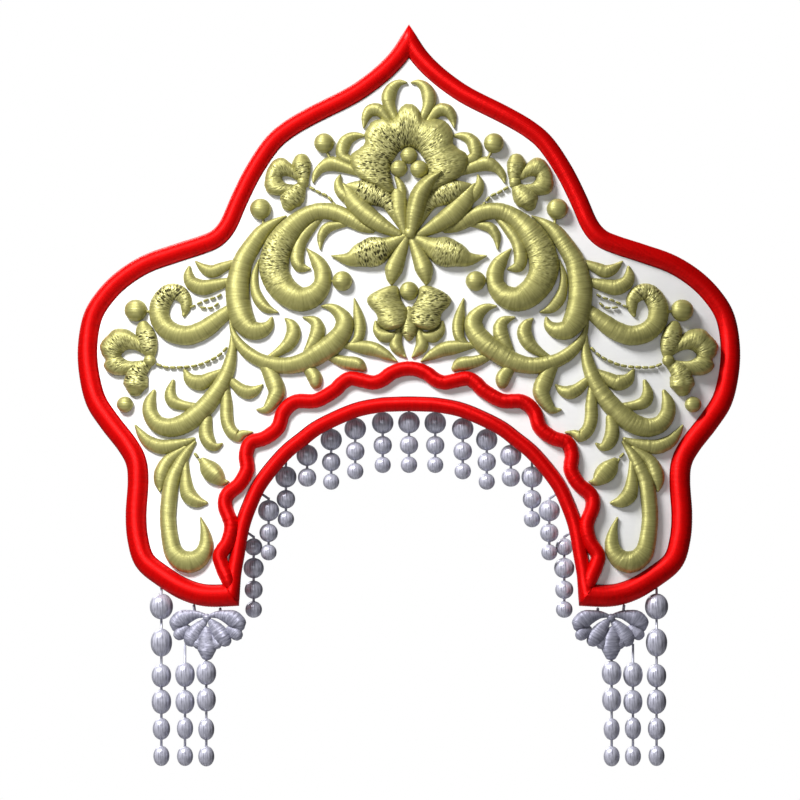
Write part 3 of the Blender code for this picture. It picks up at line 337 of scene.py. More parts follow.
@dataclass(frozen=True)
class Chart:
    """The embroidery chart and the bent front that it is laid on."""

    half_width: float = 0.1541
    peak_rise: float = 0.1738
    arch_half_width: float = 0.0847
    arch_drop: float = 0.0912
    pendant_drop: float = 0.0826
    front_radius: float = 0.360
    lean: float = math.tan(math.radians(5.0))
    plate: float = 0.0030
    seat_gap: float = 0.0003
    edge_cord: float = 0.0053
    brow_cord: float = 0.0035
    band_depth: float = 0.045
    widest_column: float = 321.0
    arch_column: float = 176.5
    peak_row: float = 362.0
    foot_row: float = -190.0
    hang_row: float = -362.0

    @property
    def square(self) -> float:
        """Size of one square of the chart."""
        return self.half_width / self.widest_column

    @property
    def face(self) -> float:
        """Depth of the plate's middle surface at the brow."""
        return -(self.brow_cord + self.seat_gap + self.band_depth / 2)

    @staticmethod
    def read(value: float, knots: Sequence[tuple[float, float]]) -> float:
        """Read a value through straight pieces between knots.

        Args:
            value: The value to look up.
            knots: Pairs of value and result, in order.

        Returns:
            The result, carried straight on past the last knot.
        """
        pairs = list(zip(knots, knots[1:]))
        (start, low), (end, high) = next((pair for pair in pairs if value <= pair[1][0]), pairs[-1])
        return low + (value - start) * (high - low) / (end - start)

    def place(self, column: float, row: float) -> tuple[float, float]:
        """Real x and z of a place on the chart."""
        across = ((0.0, 0.0), (self.arch_column, self.arch_half_width), (self.widest_column, self.half_width))
        rise = (
            (self.hang_row, -self.arch_drop - self.pendant_drop), (self.foot_row, -self.arch_drop),
            (0.0, 0.0), (self.peak_row, self.peak_rise),
        )
        return math.copysign(self.read(abs(column), across), column), self.read(row, rise)

    def front(self, x: float, z: float, lift: float = 0.0) -> Vector:
        """A place on the plate's middle surface, or lifted off it towards the viewer."""
        run = math.sqrt(self.front_radius ** 2 - x ** 2)
        upper = z > -self.arch_drop
        back = self.face + self.front_radius - run + max(z, -self.arch_drop) * self.lean
        normal = Vector((x / run, -1.0, self.lean if upper else 0.0)).normalized()
        return Vector((x, back, z)) + normal * lift

    def edge_radius(self, row: float) -> float:
        """Radius of the edge cord, a little slimmer above the side lobes."""
        high, low = EDGE_SLIM_ROWS
        share = min(max((row - low) / (high - low), 0.0), 1.0)
        return self.edge_cord * (1.0 + (EDGE_SLIM_SHARE - 1.0) * share)

    def edge_path(self, steps: int = 1) -> list[Section]:
        """Edge cord's half line as x, z and radius."""
        return [(*self.place(c, r), self.edge_radius(r)) for c, r in blend(EDGE_LINE, steps)]

    def brow_path(self, steps: int = 1) -> list[Section]:
        """Brow cord's half line as x, z and radius."""
        return [(*self.place(c, r), self.brow_cord) for c, r in blend(BROW_LINE, steps)]

    def brow_seam(self, steps: int = 1) -> list[Section]:
        """Brow cord's half line, run on to the corner where it meets the edge cord."""
        return [(*self.place(c, r), self.brow_cord) for c, r in blend((*BROW_LINE, BROW_FOOT), steps)]

    @staticmethod
    def offset(x: float, z: float, start: Section, end: Section) -> tuple[float, float]:
        """Offset of a place from one straight piece of a cord's half line.

        Args:
            x: Across the crown.
            z: Up the crown.
            start: Where the piece starts, as x, z and radius.
            end: Where it ends.

        Returns:
            The offset outwards and upwards.
        """
        run_x, run_z = end[0] - start[0], end[1] - start[1]
        share = ((abs(x) - start[0]) * run_x + (z - start[1]) * run_z) / (run_x ** 2 + run_z ** 2)
        share = min(max(share, 0.0), 1.0)
        return abs(x) - (start[0] + run_x * share), z - (start[1] + run_z * share)

    def apart(self, x: float, z: float, line: Sequence[Section]) -> float:
        """Distance of a place from a cord's centreline."""
        return min(math.hypot(*self.offset(x, z, start, end)) for start, end in zip(line, line[1:]))

    def clear(self, x: float, z: float, reach: float, line: Sequence[Section]) -> tuple[float, float]:
        """Move a place off a cord until its reach clears the cord's side.

        Args:
            x: Across the crown.
            z: Up the crown.
            reach: Half the width of what lies there.
            line: The cord's half line as x, z and radius.

        Returns:
            The moved x and z.
        """
        for start, end in zip(line, line[1:]):
            off_x, off_z = self.offset(x, z, start, end)
            distance = math.hypot(off_x, off_z)
            short = start[2] + reach + self.seat_gap - distance
            if short > 0.0 and distance > 0.0:
                x += math.copysign(off_x * short / distance, x)
                z += off_z * short / distance
        return x, z


CHART = Chart()
WAVE_CORD_WIDTH = 0.0070
WAVE_CORD_HEIGHT = 0.0040


def wave_path(steps: int = 1) -> list[Section]:
    """Wave cord's half line as x, z and radius."""
    return [(*CHART.place(column, row), WAVE_CORD_WIDTH / 2) for column, row in blend(WAVE_LINE, steps)]


CORD_LINES = (CHART.edge_path(), CHART.brow_path(), wave_path())


class Shade:
    """One socket of a recipe, with arithmetic that adds Math nodes."""

    def __init__(self, recipe: "Recipe", socket: bpy.types.NodeSocket) -> None:
        """Wrap an output socket of the recipe's node tree."""
        self.recipe = recipe
        self.socket = socket

    def other(self, name: str) -> "Shade":
        """Another output of the same node."""
        return Shade(self.recipe, self.socket.node.outputs[name])

    def math(self, operation: str, first: "Shade | float", second: "Shade | float | None" = None) -> "Shade":
        """Add a Math node.

        Args:
            operation: The Math node's operation.
            first: First value or link.
            second: Second value or link, where the operation has one.

        Returns:
            The node's result.
        """
        values = {0: first} if second is None else {0: first, 1: second}
        return self.recipe.node("ShaderNodeMath", {"operation": operation}, values)

    def __add__(self, value: "Shade | float") -> "Shade":
        """Sum."""
        return self.math("ADD", self, value)

    __radd__ = __add__

    def __sub__(self, value: "Shade | float") -> "Shade":
        """Difference."""
        return self.math("SUBTRACT", self, value)

    def __rsub__(self, value: float) -> "Shade":
        """Difference from a number."""
        return self.math("SUBTRACT", value, self)

    def __mul__(self, value: "Shade | float") -> "Shade":
        """Product."""
        return self.math("MULTIPLY", self, value)

    __rmul__ = __mul__

    def sine(self) -> "Shade":
        """Sine."""
        return self.math("SINE", self)

    def clamped(self) -> "Shade":
        """Value kept between 0 and 1."""
        return self.math("MAXIMUM", self.math("MINIMUM", self, 1.0), 0.0)


class Recipe:
    """A material while it is put together."""

    def __init__(self, name: str) -> None:
        """Start from a plain principled material."""
        self.material = bpy.data.materials.new(name)
        self.material.use_nodes = True
        self.tree = self.material.node_tree
        self.shader = self.tree.nodes["Principled BSDF"]

    def fill(self, socket: bpy.types.NodeSocket, value: "Shade | float | tuple") -> None:
        """Link a shade to a socket, or set the socket's own value."""
        if isinstance(value, Shade):
            self.tree.links.new(value.socket, socket)
        elif isinstance(value, tuple) and len(value) == 3 and socket.type == "RGBA":
            socket.default_value = (*value, 1.0)
        else:
            socket.default_value = value

    def node(self, kind: str, settings: dict | None = None, values: dict | None = None,
             take: int | str = 0) -> Shade:
        """Add a node.

        Args:
            kind: The node's type.
            settings: Its settings, set first.
            values: Values or links for its sockets.
            take: The output to hand back.

        Returns:
            That output.
        """
        made = self.tree.nodes.new(kind)
        for key, value in (settings or {}).items():
            setattr(made, key, value)
        for key, value in (values or {}).items():
            self.fill(made.inputs[key], value)
        return Shade(self, made.outputs[take])

    def tint(self, share: Shade | float, first: Colour | Shade, second: Colour | Shade) -> Shade:
        """Mix two colours by a share."""
        return self.node("ShaderNodeMix", {"data_type": "RGBA"}, {0: share, 6: first, 7: second}, 2)

    def place(self) -> Shade:
        """Object coordinates."""
        return self.node("ShaderNodeTexCoord", take="Object")

    def stitch(self) -> tuple[Shade, Shade]:
        """Length along the stitch line and place across it, both in metres."""
        chart = self.node("ShaderNodeUVMap", {"uv_map": "stitch"})
        along = self.node("ShaderNodeSeparateXYZ", values={0: chart})
        return along, along.other("Y")

    def noise(self, where: Shade, scale: float, detail: float = 2.0) -> Shade:
        """Noise from 0 to 1."""
        return self.node("ShaderNodeTexNoise", values={"Vector": where, "Scale": scale, "Detail": detail})

    def vector(self, x: Shade | float, y: Shade | float, z: Shade | float = 0.0) -> Shade:
        """A vector from three values."""
        return self.node("ShaderNodeCombineXYZ", values={0: x, 1: y, 2: z})

    def bump(self, height: Shade, distance: float) -> Shade:
        """A normal from a height."""
        return self.node("ShaderNodeBump", values={"Height": height, "Distance": distance})

    def finish(self, **sockets: "Shade | float | tuple") -> bpy.types.Material:
        """Fill the shader's sockets, named with _ for a space, and hand the material back."""
        for key, value in sockets.items():
            self.fill(self.shader.inputs[key.replace("_", " ")], value)
        return self.material


@dataclass(frozen=True)
class SatinThread:
    """Satin stitch: threads side by side across a padded line, whose needle holes are painted dark as the
    shade inside them.
    """

    name: str
    dark: Colour
    mid: Colour
    light: Colour
    pitch: float = 0.00046
    roughness: float = 0.45
    speculum: float = 0.30
    metal: float = 0.35
    contrast: float = 0.8
    streak_rate: float = 0.55
    streak_across: float = 110.0
    patch_scale: float = 160.0
    mottle: float = 0.35
    rib_tone: float = 0.06
    fleck_tone: float = 4.5
    fleck_middle: float = 0.44
    relief: float = 0.00010
    slot: float = 0.00105
    slot_length: float = 0.0026
    slot_depth: float = 3.0
    slot_spread: float = 0.75
    hole_and_shade_strength: float = 1.5
    streak_height: float = 0.8
    rib_height: float = 0.35
    fleck_height: float = 4.0
    gloss_spread: float = 0.25
    hole_shade_share: float = 0.45

    def build(self) -> bpy.types.Material:
        """Make the thread material."""
        recipe = Recipe(self.name)
        along, across = recipe.stitch()
        pores = recipe.node("ShaderNodeAttribute", {"attribute_name": "pores"}, take="Fac")
        grain = recipe.vector(along * (self.streak_rate / self.pitch), across * self.streak_across)
        streak = recipe.noise(grain, 1.0, 3.0)
        patch = recipe.noise(recipe.place(), self.patch_scale)
        ribs = (along * (math.tau / self.pitch)).sine()
        cell = recipe.node(
            "ShaderNodeTexVoronoi", {"feature": "F1"},
            {"Vector": recipe.vector(along * (1.0 / self.slot), across * (1.0 / self.slot_length)),
             "Scale": 1.0, "Randomness": self.slot_spread})
        # Needle hole mask: it sinks the bump and also tints the colour near black, painted shade inside the
        # holes.
        hole_and_shade = (1.8 - cell * 3.9).clamped() * pores * self.hole_and_shade_strength
        grain = recipe.vector(along * (1.6 / self.slot), across * (1.2 / self.slot_length))
        fleck = recipe.noise(grain, 1.0, 1.0)
        tone = (0.5 + (streak - 0.5) * self.contrast + (patch - 0.5) * self.mottle + ribs * self.rib_tone
                + (fleck - self.fleck_middle) * pores * self.fleck_tone).clamped()
        low = recipe.tint((tone * 2.0).clamped(), self.dark, self.mid)
        thread = recipe.tint((tone * 2.0 - 1.0).clamped(), low, self.light)
        # Painted shade: the holes take the dark thread colour dimmed further.
        colour = recipe.tint(hole_and_shade, thread, tuple(value * self.hole_shade_share for value in self.dark))
        height = (streak * self.streak_height + ribs * self.rib_height + fleck * pores * self.fleck_height
                  - hole_and_shade * self.slot_depth)
        return recipe.finish(
            Base_Color=colour, Roughness=self.roughness + (0.5 - streak) * self.gloss_spread,
            Specular_IOR_Level=self.speculum, Metallic=self.metal, Normal=recipe.bump(height, self.relief))


@dataclass(frozen=True)
class SatinCloth:
    """White satin weave pulled over the stiff board."""

    name: str
    colour: Colour
    shadow: Colour
    pitch: float = 0.00055
    roughness: float = 0.6
    sheen: float = 0.15
    relief: float = 0.00008
    slub_across: float = 60.0
    slub_rows: float = 900.0
    slub_tone: float = 0.8
    slub_height: float = 0.4
    weave_tone: float = 0.05
    weave_height: float = 0.3
    pucker_scale: float = 70.0
    pucker_height: float = 2.0
    gloss_spread: float = 0.15

    def build(self) -> bpy.types.Material:
        """Make the cloth material."""
        recipe = Recipe(self.name)
        place = recipe.place()
        split = recipe.node("ShaderNodeSeparateXYZ", values={0: place})
        warp = (split * (math.tau / self.pitch)).sine()
        weft = (split.other("Z") * (math.tau / self.pitch)).sine()
        rows = recipe.vector(split * self.slub_across, split.other("Z") * self.slub_rows)
        slub = recipe.noise(rows, 1.0)
        pucker = recipe.noise(place, self.pucker_scale)
        tone = ((slub - 0.35) * self.slub_tone + warp * weft * self.weave_tone).clamped()
        colour = recipe.tint(tone, self.shadow, self.colour)
        height = warp * weft * self.weave_height + slub * self.slub_height + pucker * self.pucker_height
        return recipe.finish(
            Base_Color=colour, Roughness=self.roughness + (slub - 0.5) * self.gloss_spread,
            Normal=recipe.bump(height, self.relief), Sheen_Weight=self.sheen)


@dataclass(frozen=True)
class PearlThread:
    """Bead wound with silver lilac thread from hole to hole."""

    name: str
    dark: Colour
    light: Colour
    roughness: float = 0.34
    speculum: float = 0.4
    metal: float = 0.3
    contrast: float = 2.4
    mottle: float = 0.5
    streaks: float = 80.0
    streak_fall: float = 1.3
    patch_scale: float = 420.0
    gloss_spread: float = 0.3
    coat: float = 0.1
    coat_roughness: float = 0.25
    relief: float = 0.00010

    def build(self) -> bpy.types.Material:
        """Make the bead material."""
        recipe = Recipe(self.name)
        turn, fall = recipe.stitch()
        streak = recipe.noise(recipe.vector(turn * self.streaks, fall * self.streak_fall), 1.0, 3.0)
        patch = recipe.noise(recipe.place(), self.patch_scale)
        tone = (0.5 + (streak - 0.5) * self.contrast + (patch - 0.5) * self.mottle).clamped()
        return recipe.finish(
            Base_Color=recipe.tint(tone, self.dark, self.light),
            Roughness=self.roughness + (streak - 0.5) * self.gloss_spread,
            Specular_IOR_Level=self.speculum, Metallic=self.metal,
            Coat_Weight=self.coat, Coat_Roughness=self.coat_roughness,
            Normal=recipe.bump(streak, self.relief))


@dataclass(frozen=True)
class PlainFloor:
    """Pale matt floor."""

    name: str
    colour: Colour
    roughness: float = 0.8
    dim: float = 0.97
    grain_scale: float = 30.0

    def build(self) -> bpy.types.Material:
        """Make the floor material."""
        recipe = Recipe(self.name)
        grain = recipe.noise(recipe.place(), self.grain_scale)
        colour = recipe.tint(grain, self.colour, tuple(value * self.dim for value in self.colour))
        return recipe.finish(Base_Color=colour, Roughness=self.roughness)


class Finish(Enum):
    """The finishes of the headdress, one for each material slot, and the floor."""

    GOLD = SatinThread(
        "gold_thread_stitch", (0.11, 0.10, 0.033), (0.37, 0.35, 0.12), (0.60, 0.57, 0.24), metal=0.5)
    RED = SatinThread(
        "red_satin_stitch", (0.38, 0.0, 0.0), (0.66, 0.001, 0.001), (0.80, 0.002, 0.002),
        pitch=0.00055, roughness=0.40, speculum=0.12, metal=0.4)
    WHITE = SatinCloth("white_satin_cloth", (0.95, 0.95, 0.95), (0.90, 0.90, 0.90))
    LILAC = PearlThread("lilac_wound_bead", (0.14, 0.14, 0.19), (0.74, 0.74, 0.86))
    LILAC_STITCH = SatinThread(
        "lilac_thread_stitch", (0.08, 0.08, 0.11), (0.29, 0.29, 0.37), (0.66, 0.66, 0.78),
        contrast=1.1, metal=0.3)
    FLOOR = PlainFloor("pale_floor", (0.9, 0.9, 0.9))

    @property
    def material(self) -> bpy.types.Material:
        """The finish's material, made when it is first asked for."""
        return bpy.data.materials.get(self.value.name) or self.value.build()


class Ring(NamedTuple):
    """One step of a padded line: its left, middle and right places, height and length so far."""

    left: tuple[float, float]
    middle: tuple[float, float]
    right: tuple[float, float]
    height: float
    along: float


class Pores(NamedTuple):
    """Needle holes of a stroke: how strong they are and where along and across it they lie; the thread finish
    paints them with dark shade.
    """

    strength: float = 0.0
    start: float = 0.0
    end: float = 1.0
    inner: bool = False
    fade: float = 8.0
    inner_middle: float = 0.75
    inner_rise: float = 1.1
    inner_least: float = 0.12

    def at(self, share: float, side: float) -> float:
        """Strength at a place.

        Args:
            share: Share of the stroke's length.
            side: Place across it from -1 to 1.

        Returns:
            The strength there.
        """
        begun = min(max((share - self.start) * self.fade, 0.0), 1.0)
        left = min(max((self.end - share) * self.fade, 0.0), 1.0)
        across = 1.0 - abs(side) ** 4
        # Inner holes crowd toward the inner outline, so that side gets more of the painted hole shade.
        if self.inner:
            across = min(max(self.inner_middle + side * self.inner_rise, self.inner_least), 1.0)
        return self.strength * begun * left * across


PLAIN = Pores()
# Faces across a stroke, by the width in squares that it passes
CROSS_FACES = ((12, 12), (5, 8), (0, 6))


def settle(bm: bmesh.types.BMesh, name: str, finish: Finish, nodes: Sequence[str]) -> bpy.types.Object:
    """Turn a bmesh into a finished piece that stands for CAD nodes.

    Args:
        bm: The shape, in place.
        name: The piece's name.
        finish: Its finish.
        nodes: The nodes that it stands for.

    Returns:
        The piece.
    """
    bmesh.ops.remove_doubles(bm, verts=bm.verts, dist=MERGE)
    bmesh.ops.dissolve_degenerate(bm, edges=bm.edges, dist=SLIVER)
    bmesh.ops.recalc_face_normals(bm, faces=bm.faces)
    mesh = bpy.data.meshes.new(name)
    bm.to_mesh(mesh)
    bm.free()
    mesh.materials.append(finish.material)
    mesh.shade_smooth()
    made = bpy.data.objects.new(name, mesh)
    bpy.context.scene.collection.objects.link(made)
    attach(made, "root")
    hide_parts(*nodes)
    LOG.info("%s: %d faces", name, len(mesh.polygons))
    return made


@dataclass
class StitchWork:
    """Padded satin stitch, gathered stroke by stroke into one shape.

    Each stroke is a flat grid stretched over a ridge that swells and thins with its widths, and
    whose steps rise and fall a little, one rib for each pair of threads.
    """

    hand: float
    seed: int
    slope: float = 0.42
    lowest: float = 0.0012
    highest: float = 0.0050
    rib: float = 0.00050
    rib_height: float = 0.012
    fullness: float = 0.85
    calm: float = 0.5
    tip: float = 0.35
    waver: float = 0.02
    cap_share: float = 0.5
    cap_squares: float = 2.0
    cap_most: float = 0.4
    direction_reach: int = 3
    bend_reach: int = 4
    thinnest: float = 0.6
    bend_room: float = 0.9
    berry_share: float = 0.85
    seat: float = 0.00005
    step: float = 0.00005
    back: float = 0.0
    order: int = 0
    bm: bmesh.types.BMesh = field(default_factory=bmesh.new)

    def __post_init__(self) -> None:
        """Add the layers that the thread finish reads."""
        self.random = random.Random(self.seed)
        self.uv = self.bm.loops.layers.uv.new("stitch")
        self.pores = self.bm.verts.layers.float.new("pores")

    def ridge(self, rings: Sequence[Ring], pores: Pores = PLAIN, lift: float = 0.0) -> None:
        """Stretch grids over the top and the underside of a ridge.

        Args:
            rings: Steps of the ridge.
            pores: Its needle holes.
            lift: How far its end rises over what it crosses.
        """
        self.order += 1
        base = CHART.plate / 2 + self.seat + self.step * self.order
        if self.back:
            base = self.step * self.order
        last = len(rings) - 1
        wide = max(math.dist(ring.left, ring.right) for ring in rings)
        cross = next(faces for least, faces in CROSS_FACES if wide > least * CHART.square)
        offset = self.random.random()
        for top in (True, False):
            made = bmesh.ops.create_grid(
                self.bm, x_segments=last, y_segments=cross if top or self.back else 1, size=0.5)
            places = {}
            for vert in made["verts"]:
                index = round((vert.co.x + 0.5) * last)
                ring = rings[index]
                side = vert.co.y * 2
                turn = side * math.pi / 2
                reach = math.sin(turn)
                edge = ring.right if reach > 0 else ring.left
                x = ring.middle[0] + (edge[0] - ring.middle[0]) * abs(reach)
                z = ring.middle[1] + (edge[1] - ring.middle[1]) * abs(reach)
                share = index / last
                full = max(math.cos(turn), 0.0) ** self.fullness
                rise = full * (ring.height + lift * share) if top else -full * self.back
                places[vert] = (ring.along + offset, math.dist(edge, ring.middle) * reach)
                vert[self.pores] = pores.at(share, side) * (1.0 if x * self.hand < 0.0 else self.calm)
                vert.co = CHART.front(x * self.hand, z, base + rise)
            for face in {face for vert in made["verts"] for face in vert.link_faces}:
                for loop in face.loops:
                    loop[self.uv].uv = places[loop.vert]

    def rounded(self, rings: Sequence[tuple[float, ...]], pores: Pores = PLAIN, lift: float = 0.0) -> None:
        """Round off both ends of a line of sections, rib it and lay it.

        Args:
            rings: Left x, z, middle x, z, right x, z and length so far.
            pores: Its needle holes.
            lift: How far its end rises over what it crosses.
        """
        whole = rings[-1][-1]
        ends = [math.dist(ring[:2], ring[4:6]) for ring in (rings[0], rings[-1])]
        least, most = CHART.square * self.cap_squares, whole * self.cap_most
        caps = [min(max(wide * self.cap_share, least), most) for wide in ends]
        made = []
        for index, (lx, lz, mx, mz, rx, rz, along) in enumerate(rings):
            share = 1.0
            for gone, cap in ((along, caps[0]), (whole - along, caps[1])):
                if gone < cap:
                    share *= math.sqrt(max(1.0 - (1.0 - gone / cap) ** 2, 0.0))
            share *= 1.0 + self.random.uniform(-self.waver, self.waver)
            wide = math.dist((lx, lz), (rx, rz))
            height = min(max(wide * self.slope, self.lowest), self.highest) * share
            height *= 1.0 + (self.rib_height if index % 2 else -self.rib_height)
            made.append(Ring(
                (mx + (lx - mx) * share, mz + (lz - mz) * share), (mx, mz),
                (mx + (rx - mx) * share, mz + (rz - mz) * share), height, along))
        self.ridge(made, pores, lift)

    def stroke(self, points: Widths, pores: Pores = PLAIN, lift: float = 0.0) -> None:
        """Lay one stroke along a line of the chart.

        Args:
            points: Column, row and width in squares of its sections.
            pores: Its needle holes.
            lift: How far its end rises over what it crosses.
        """
        line = []
        for column, row, width in points:
            x, z = CHART.place(column, row)
            half = width * CHART.square / 2
            for cord in CORD_LINES:
                x, z = CHART.clear(x, z, half, cord)
            line.append((x, z, half))
        for end, inner in ((0, 1), (-1, -2)):
            (x, z, half), (px, pz, _) = line[end], line[inner]
            away = max(math.dist((x, z), (px, pz)), TINY)
            grown = half * 2 * self.tip / away
            line.insert(0 if end == 0 else len(line), (x + (x - px) * grown, z + (z - pz) * grown, half))
        thinnest = CHART.square * self.thinnest
        path = spaced([(x, z, max(half, thinnest)) for x, z, half in blend(line, CURVE_STEPS)], self.rib)
        rings = []
        for index, (x, z, half, along) in enumerate(path):
            run = heading(path, index, self.direction_reach)
            bend = self.bend(path, index)
            left = min(half, self.bend_room / bend) if bend > 0 else half
            right = min(half, -self.bend_room / bend) if bend < 0 else half
            rings.append((
                x - run.y * left, z + run.x * left, x, z, x + run.y * right, z - run.x * right, along))
        self.rounded(rings, pores, lift)

    def bend(self, path: Sequence[tuple[float, ...]], index: int) -> float:
        """Signed bend of a path at a step, positive where it turns left.

        Args:
            path: Places whose first two values are their position.
            index: Number of the step.

        Returns:
            One over the bend's radius.
        """
        low, high = max(index - self.bend_reach, 0), min(index + self.bend_reach, len(path) - 1)
        first = Vector(path[index][:2]) - Vector(path[low][:2])
        second = Vector(path[high][:2]) - Vector(path[index][:2])
        if first.length < TINY or second.length < TINY:
            return TINY
        turn = math.atan2(first.x * second.y - first.y * second.x, first.dot(second))
        return 2 * turn / (first.length + second.length) or TINY

    def band(self, pairs: Pairs, pores: Pores = PLAIN) -> None:
        """Lay a broad band between two outlines of the chart.

        Args:
            pairs: Outer column and row, then inner column and row, of each section.
            pores: Its needle holes.
        """
        line = []
        for outer_column, outer_row, inner_column, inner_row in pairs:
            ox, oz = CHART.place(outer_column, outer_row)
            ix, iz = CHART.place(inner_column, inner_row)
            line.append(((ox + ix) / 2, (oz + iz) / 2, ox, oz, ix, iz))
        path = spaced(blend(line, CURVE_STEPS), self.rib)
        self.rounded([(lx, lz, mx, mz, rx, rz, along) for mx, mz, lx, lz, rx, rz, along in path], pores)

    def berry(self, column: float, row: float, radius: float) -> None:
        """Lay a round berry whose threads run across."""
        x, z = CHART.place(column, row)
        reach = radius * CHART.square
        for cord in CORD_LINES:
            x, z = CHART.clear(x, z, reach, cord)
        height = min(reach * self.berry_share, self.highest)
        steps = max(int(math.pi * reach / self.rib), 10)
        rings = []
        for step in range(steps + 1):
            turn = math.pi * step / steps
            wide = reach * math.sin(turn) * (1.0 + self.random.uniform(-self.waver, self.waver))
            level = z + reach * math.cos(turn)
            rings.append(Ring(
                (x - wide, level), (x, level), (x + wide, level), height * math.sin(turn),
                reach * step / steps * 2))
        self.ridge(rings)

    def running(self, points: Widths, dash: float = 5.5, gap: float = 1.6) -> None:
        """Lay a running stitch: short thin dashes along a line.

        Args:
            points: Column, row and width of the line.
            dash: Length of a dash in squares.
            gap: Length between dashes in squares.
        """
        path = spaced(blend(points, CURVE_STEPS), 0.5)
        step = 0.0
        while step + dash <= path[-1][-1]:
            kept = [place[:3] for place in path if step <= place[-1] <= step + dash]
            if len(kept) > 3:
                self.stroke((kept[0], kept[len(kept) // 2], kept[-1]))
            step += dash + gap


def flipped(points: Sequence[tuple[float, ...]]) -> tuple[tuple[float, ...], ...]:
    """The same places on the other side of the middle."""
    return tuple((-place[0], *place[1:]) for place in points)


def flipped_pairs(pairs: Pairs) -> Pairs:
    """The same band on the other side of the middle."""
    return tuple((-a, b, -c, d) for a, b, c, d in pairs)


@dataclass(frozen=True)
class Spray:
    """A group of strokes that is sewn once on each side of the crown."""

    stem: str
    strokes: tuple[tuple[Widths | Pairs, Pores], ...]
    berries: tuple[tuple[float, float, float], ...] = ()
    stitches: tuple[Widths, ...] = ()

    def build(self) -> None:
        """Sew the group on both sides."""
        for hand, side in ((-1.0, "left"), (1.0, "right")):
            work = StitchWork(hand, len(self.stem))
            for points, pores in self.strokes:
                (work.band if len(points[0]) == 4 else work.stroke)(points, pores)
            for points in self.stitches:
                work.running(points)
            for berry in self.berries:
                work.berry(*berry)
            name = f"{self.stem}_{side}"
            settle(work.bm, f"stitched_{name}", Finish.GOLD, (f"gold_{name}",))


@dataclass(frozen=True)
class Bloom:
    """Central flower over the brow: fan, calyx, petals, horns and willow leaves."""

    seed: int = 3
    leaf_lift: float = 0.0045
    fan_pores: Pores = Pores(1.0, inner=True)
    leaf_pores: Pores = Pores(1.0, 0.25, 0.72)
    calyx_pores: Pores = Pores(1.2, 0.1, 0.8)

    def build(self) -> None:
        """Sew the flower."""
        work = StitchWork(1.0, self.seed)
        for points in (SIDE_HORN_UPPER, SIDE_HORN_LOWER, CREST_HORN_OUTER, CREST_HORN_INNER):
            work.stroke(points)
            work.stroke(flipped(points))
        work.band(BLOOM_FAN + flipped_pairs(BLOOM_FAN)[-2::-1], self.fan_pores)
        for points, pores in (
                (WILLOW_LEAF, self.leaf_pores), (DOWN_PETAL, PLAIN), (UPRIGHT_LEAF, PLAIN),
                (INNER_PETAL, PLAIN), (CALYX_UPPER_ARM, self.calyx_pores), (CALYX_LOWER_ARM, PLAIN),
                (HORN_BERRY_STALK, PLAIN)):
            work.stroke(points, pores)
            work.stroke(flipped(points), pores)
        work.stroke(flipped(INNER_TIP))
        for berry in (HORN_BERRY, (-HORN_BERRY[0], *HORN_BERRY[1:]), *BLOOM_BERRIES):
            work.berry(*berry)
        work.stroke(flipped(TALL_LEAF), lift=self.leaf_lift)
        work.berry(*BLOOM_KNOT)
        settle(work.bm, "stitched_bloom", Finish.GOLD, ("gold_bloom",))


@dataclass(frozen=True)
class Bouquet:
    """Small winged flower between the bloom and the brow, one wing worked more openly."""

    seed: int = 5
    open_pores: Pores = Pores(1.3, 0.05, 0.95)
    close_pores: Pores = Pores(0.25, 0.05, 0.95)
    petal_pores: Pores = Pores(0.5)

    def build(self) -> None:
        """Sew the flower."""
        work = StitchWork(1.0, self.seed)
        for points in (BOUQUET_FOOT, BOUQUET_CUP):
            work.stroke(points)
            work.stroke(flipped(points))
        work.band(BOUQUET_WING, self.open_pores)
        work.band(flipped_pairs(BOUQUET_WING), self.close_pores)
        work.stroke(BOUQUET_PETAL, self.petal_pores)
        work.berry(*BOUQUET_BERRY)
        settle(work.bm, "stitched_bouquet", Finish.GOLD, ("gold_bouquet",))


@dataclass(frozen=True)
class PendantFan:
    """Palmette of rounded petals that hangs under a side lobe."""

    seed: int = 7
    front: float = 0.0032
    back: float = 0.0012
    petal_pores: Pores = Pores(0.16)

    def build(self) -> None:
        """Sew both palmettes."""
        for hand, side in ((-1.0, "left"), (1.0, "right")):
            work = StitchWork(hand, self.seed, highest=self.front, back=self.back)
            for points in FAN_THREADS + FAN_PETALS:
                work.stroke(points, self.petal_pores)
            work.berry(*FAN_HUB)
            settle(
                work.bm, f"stitched_fan_{side}", Finish.LILAC_STITCH, (f"pendant_fan_{side}",))


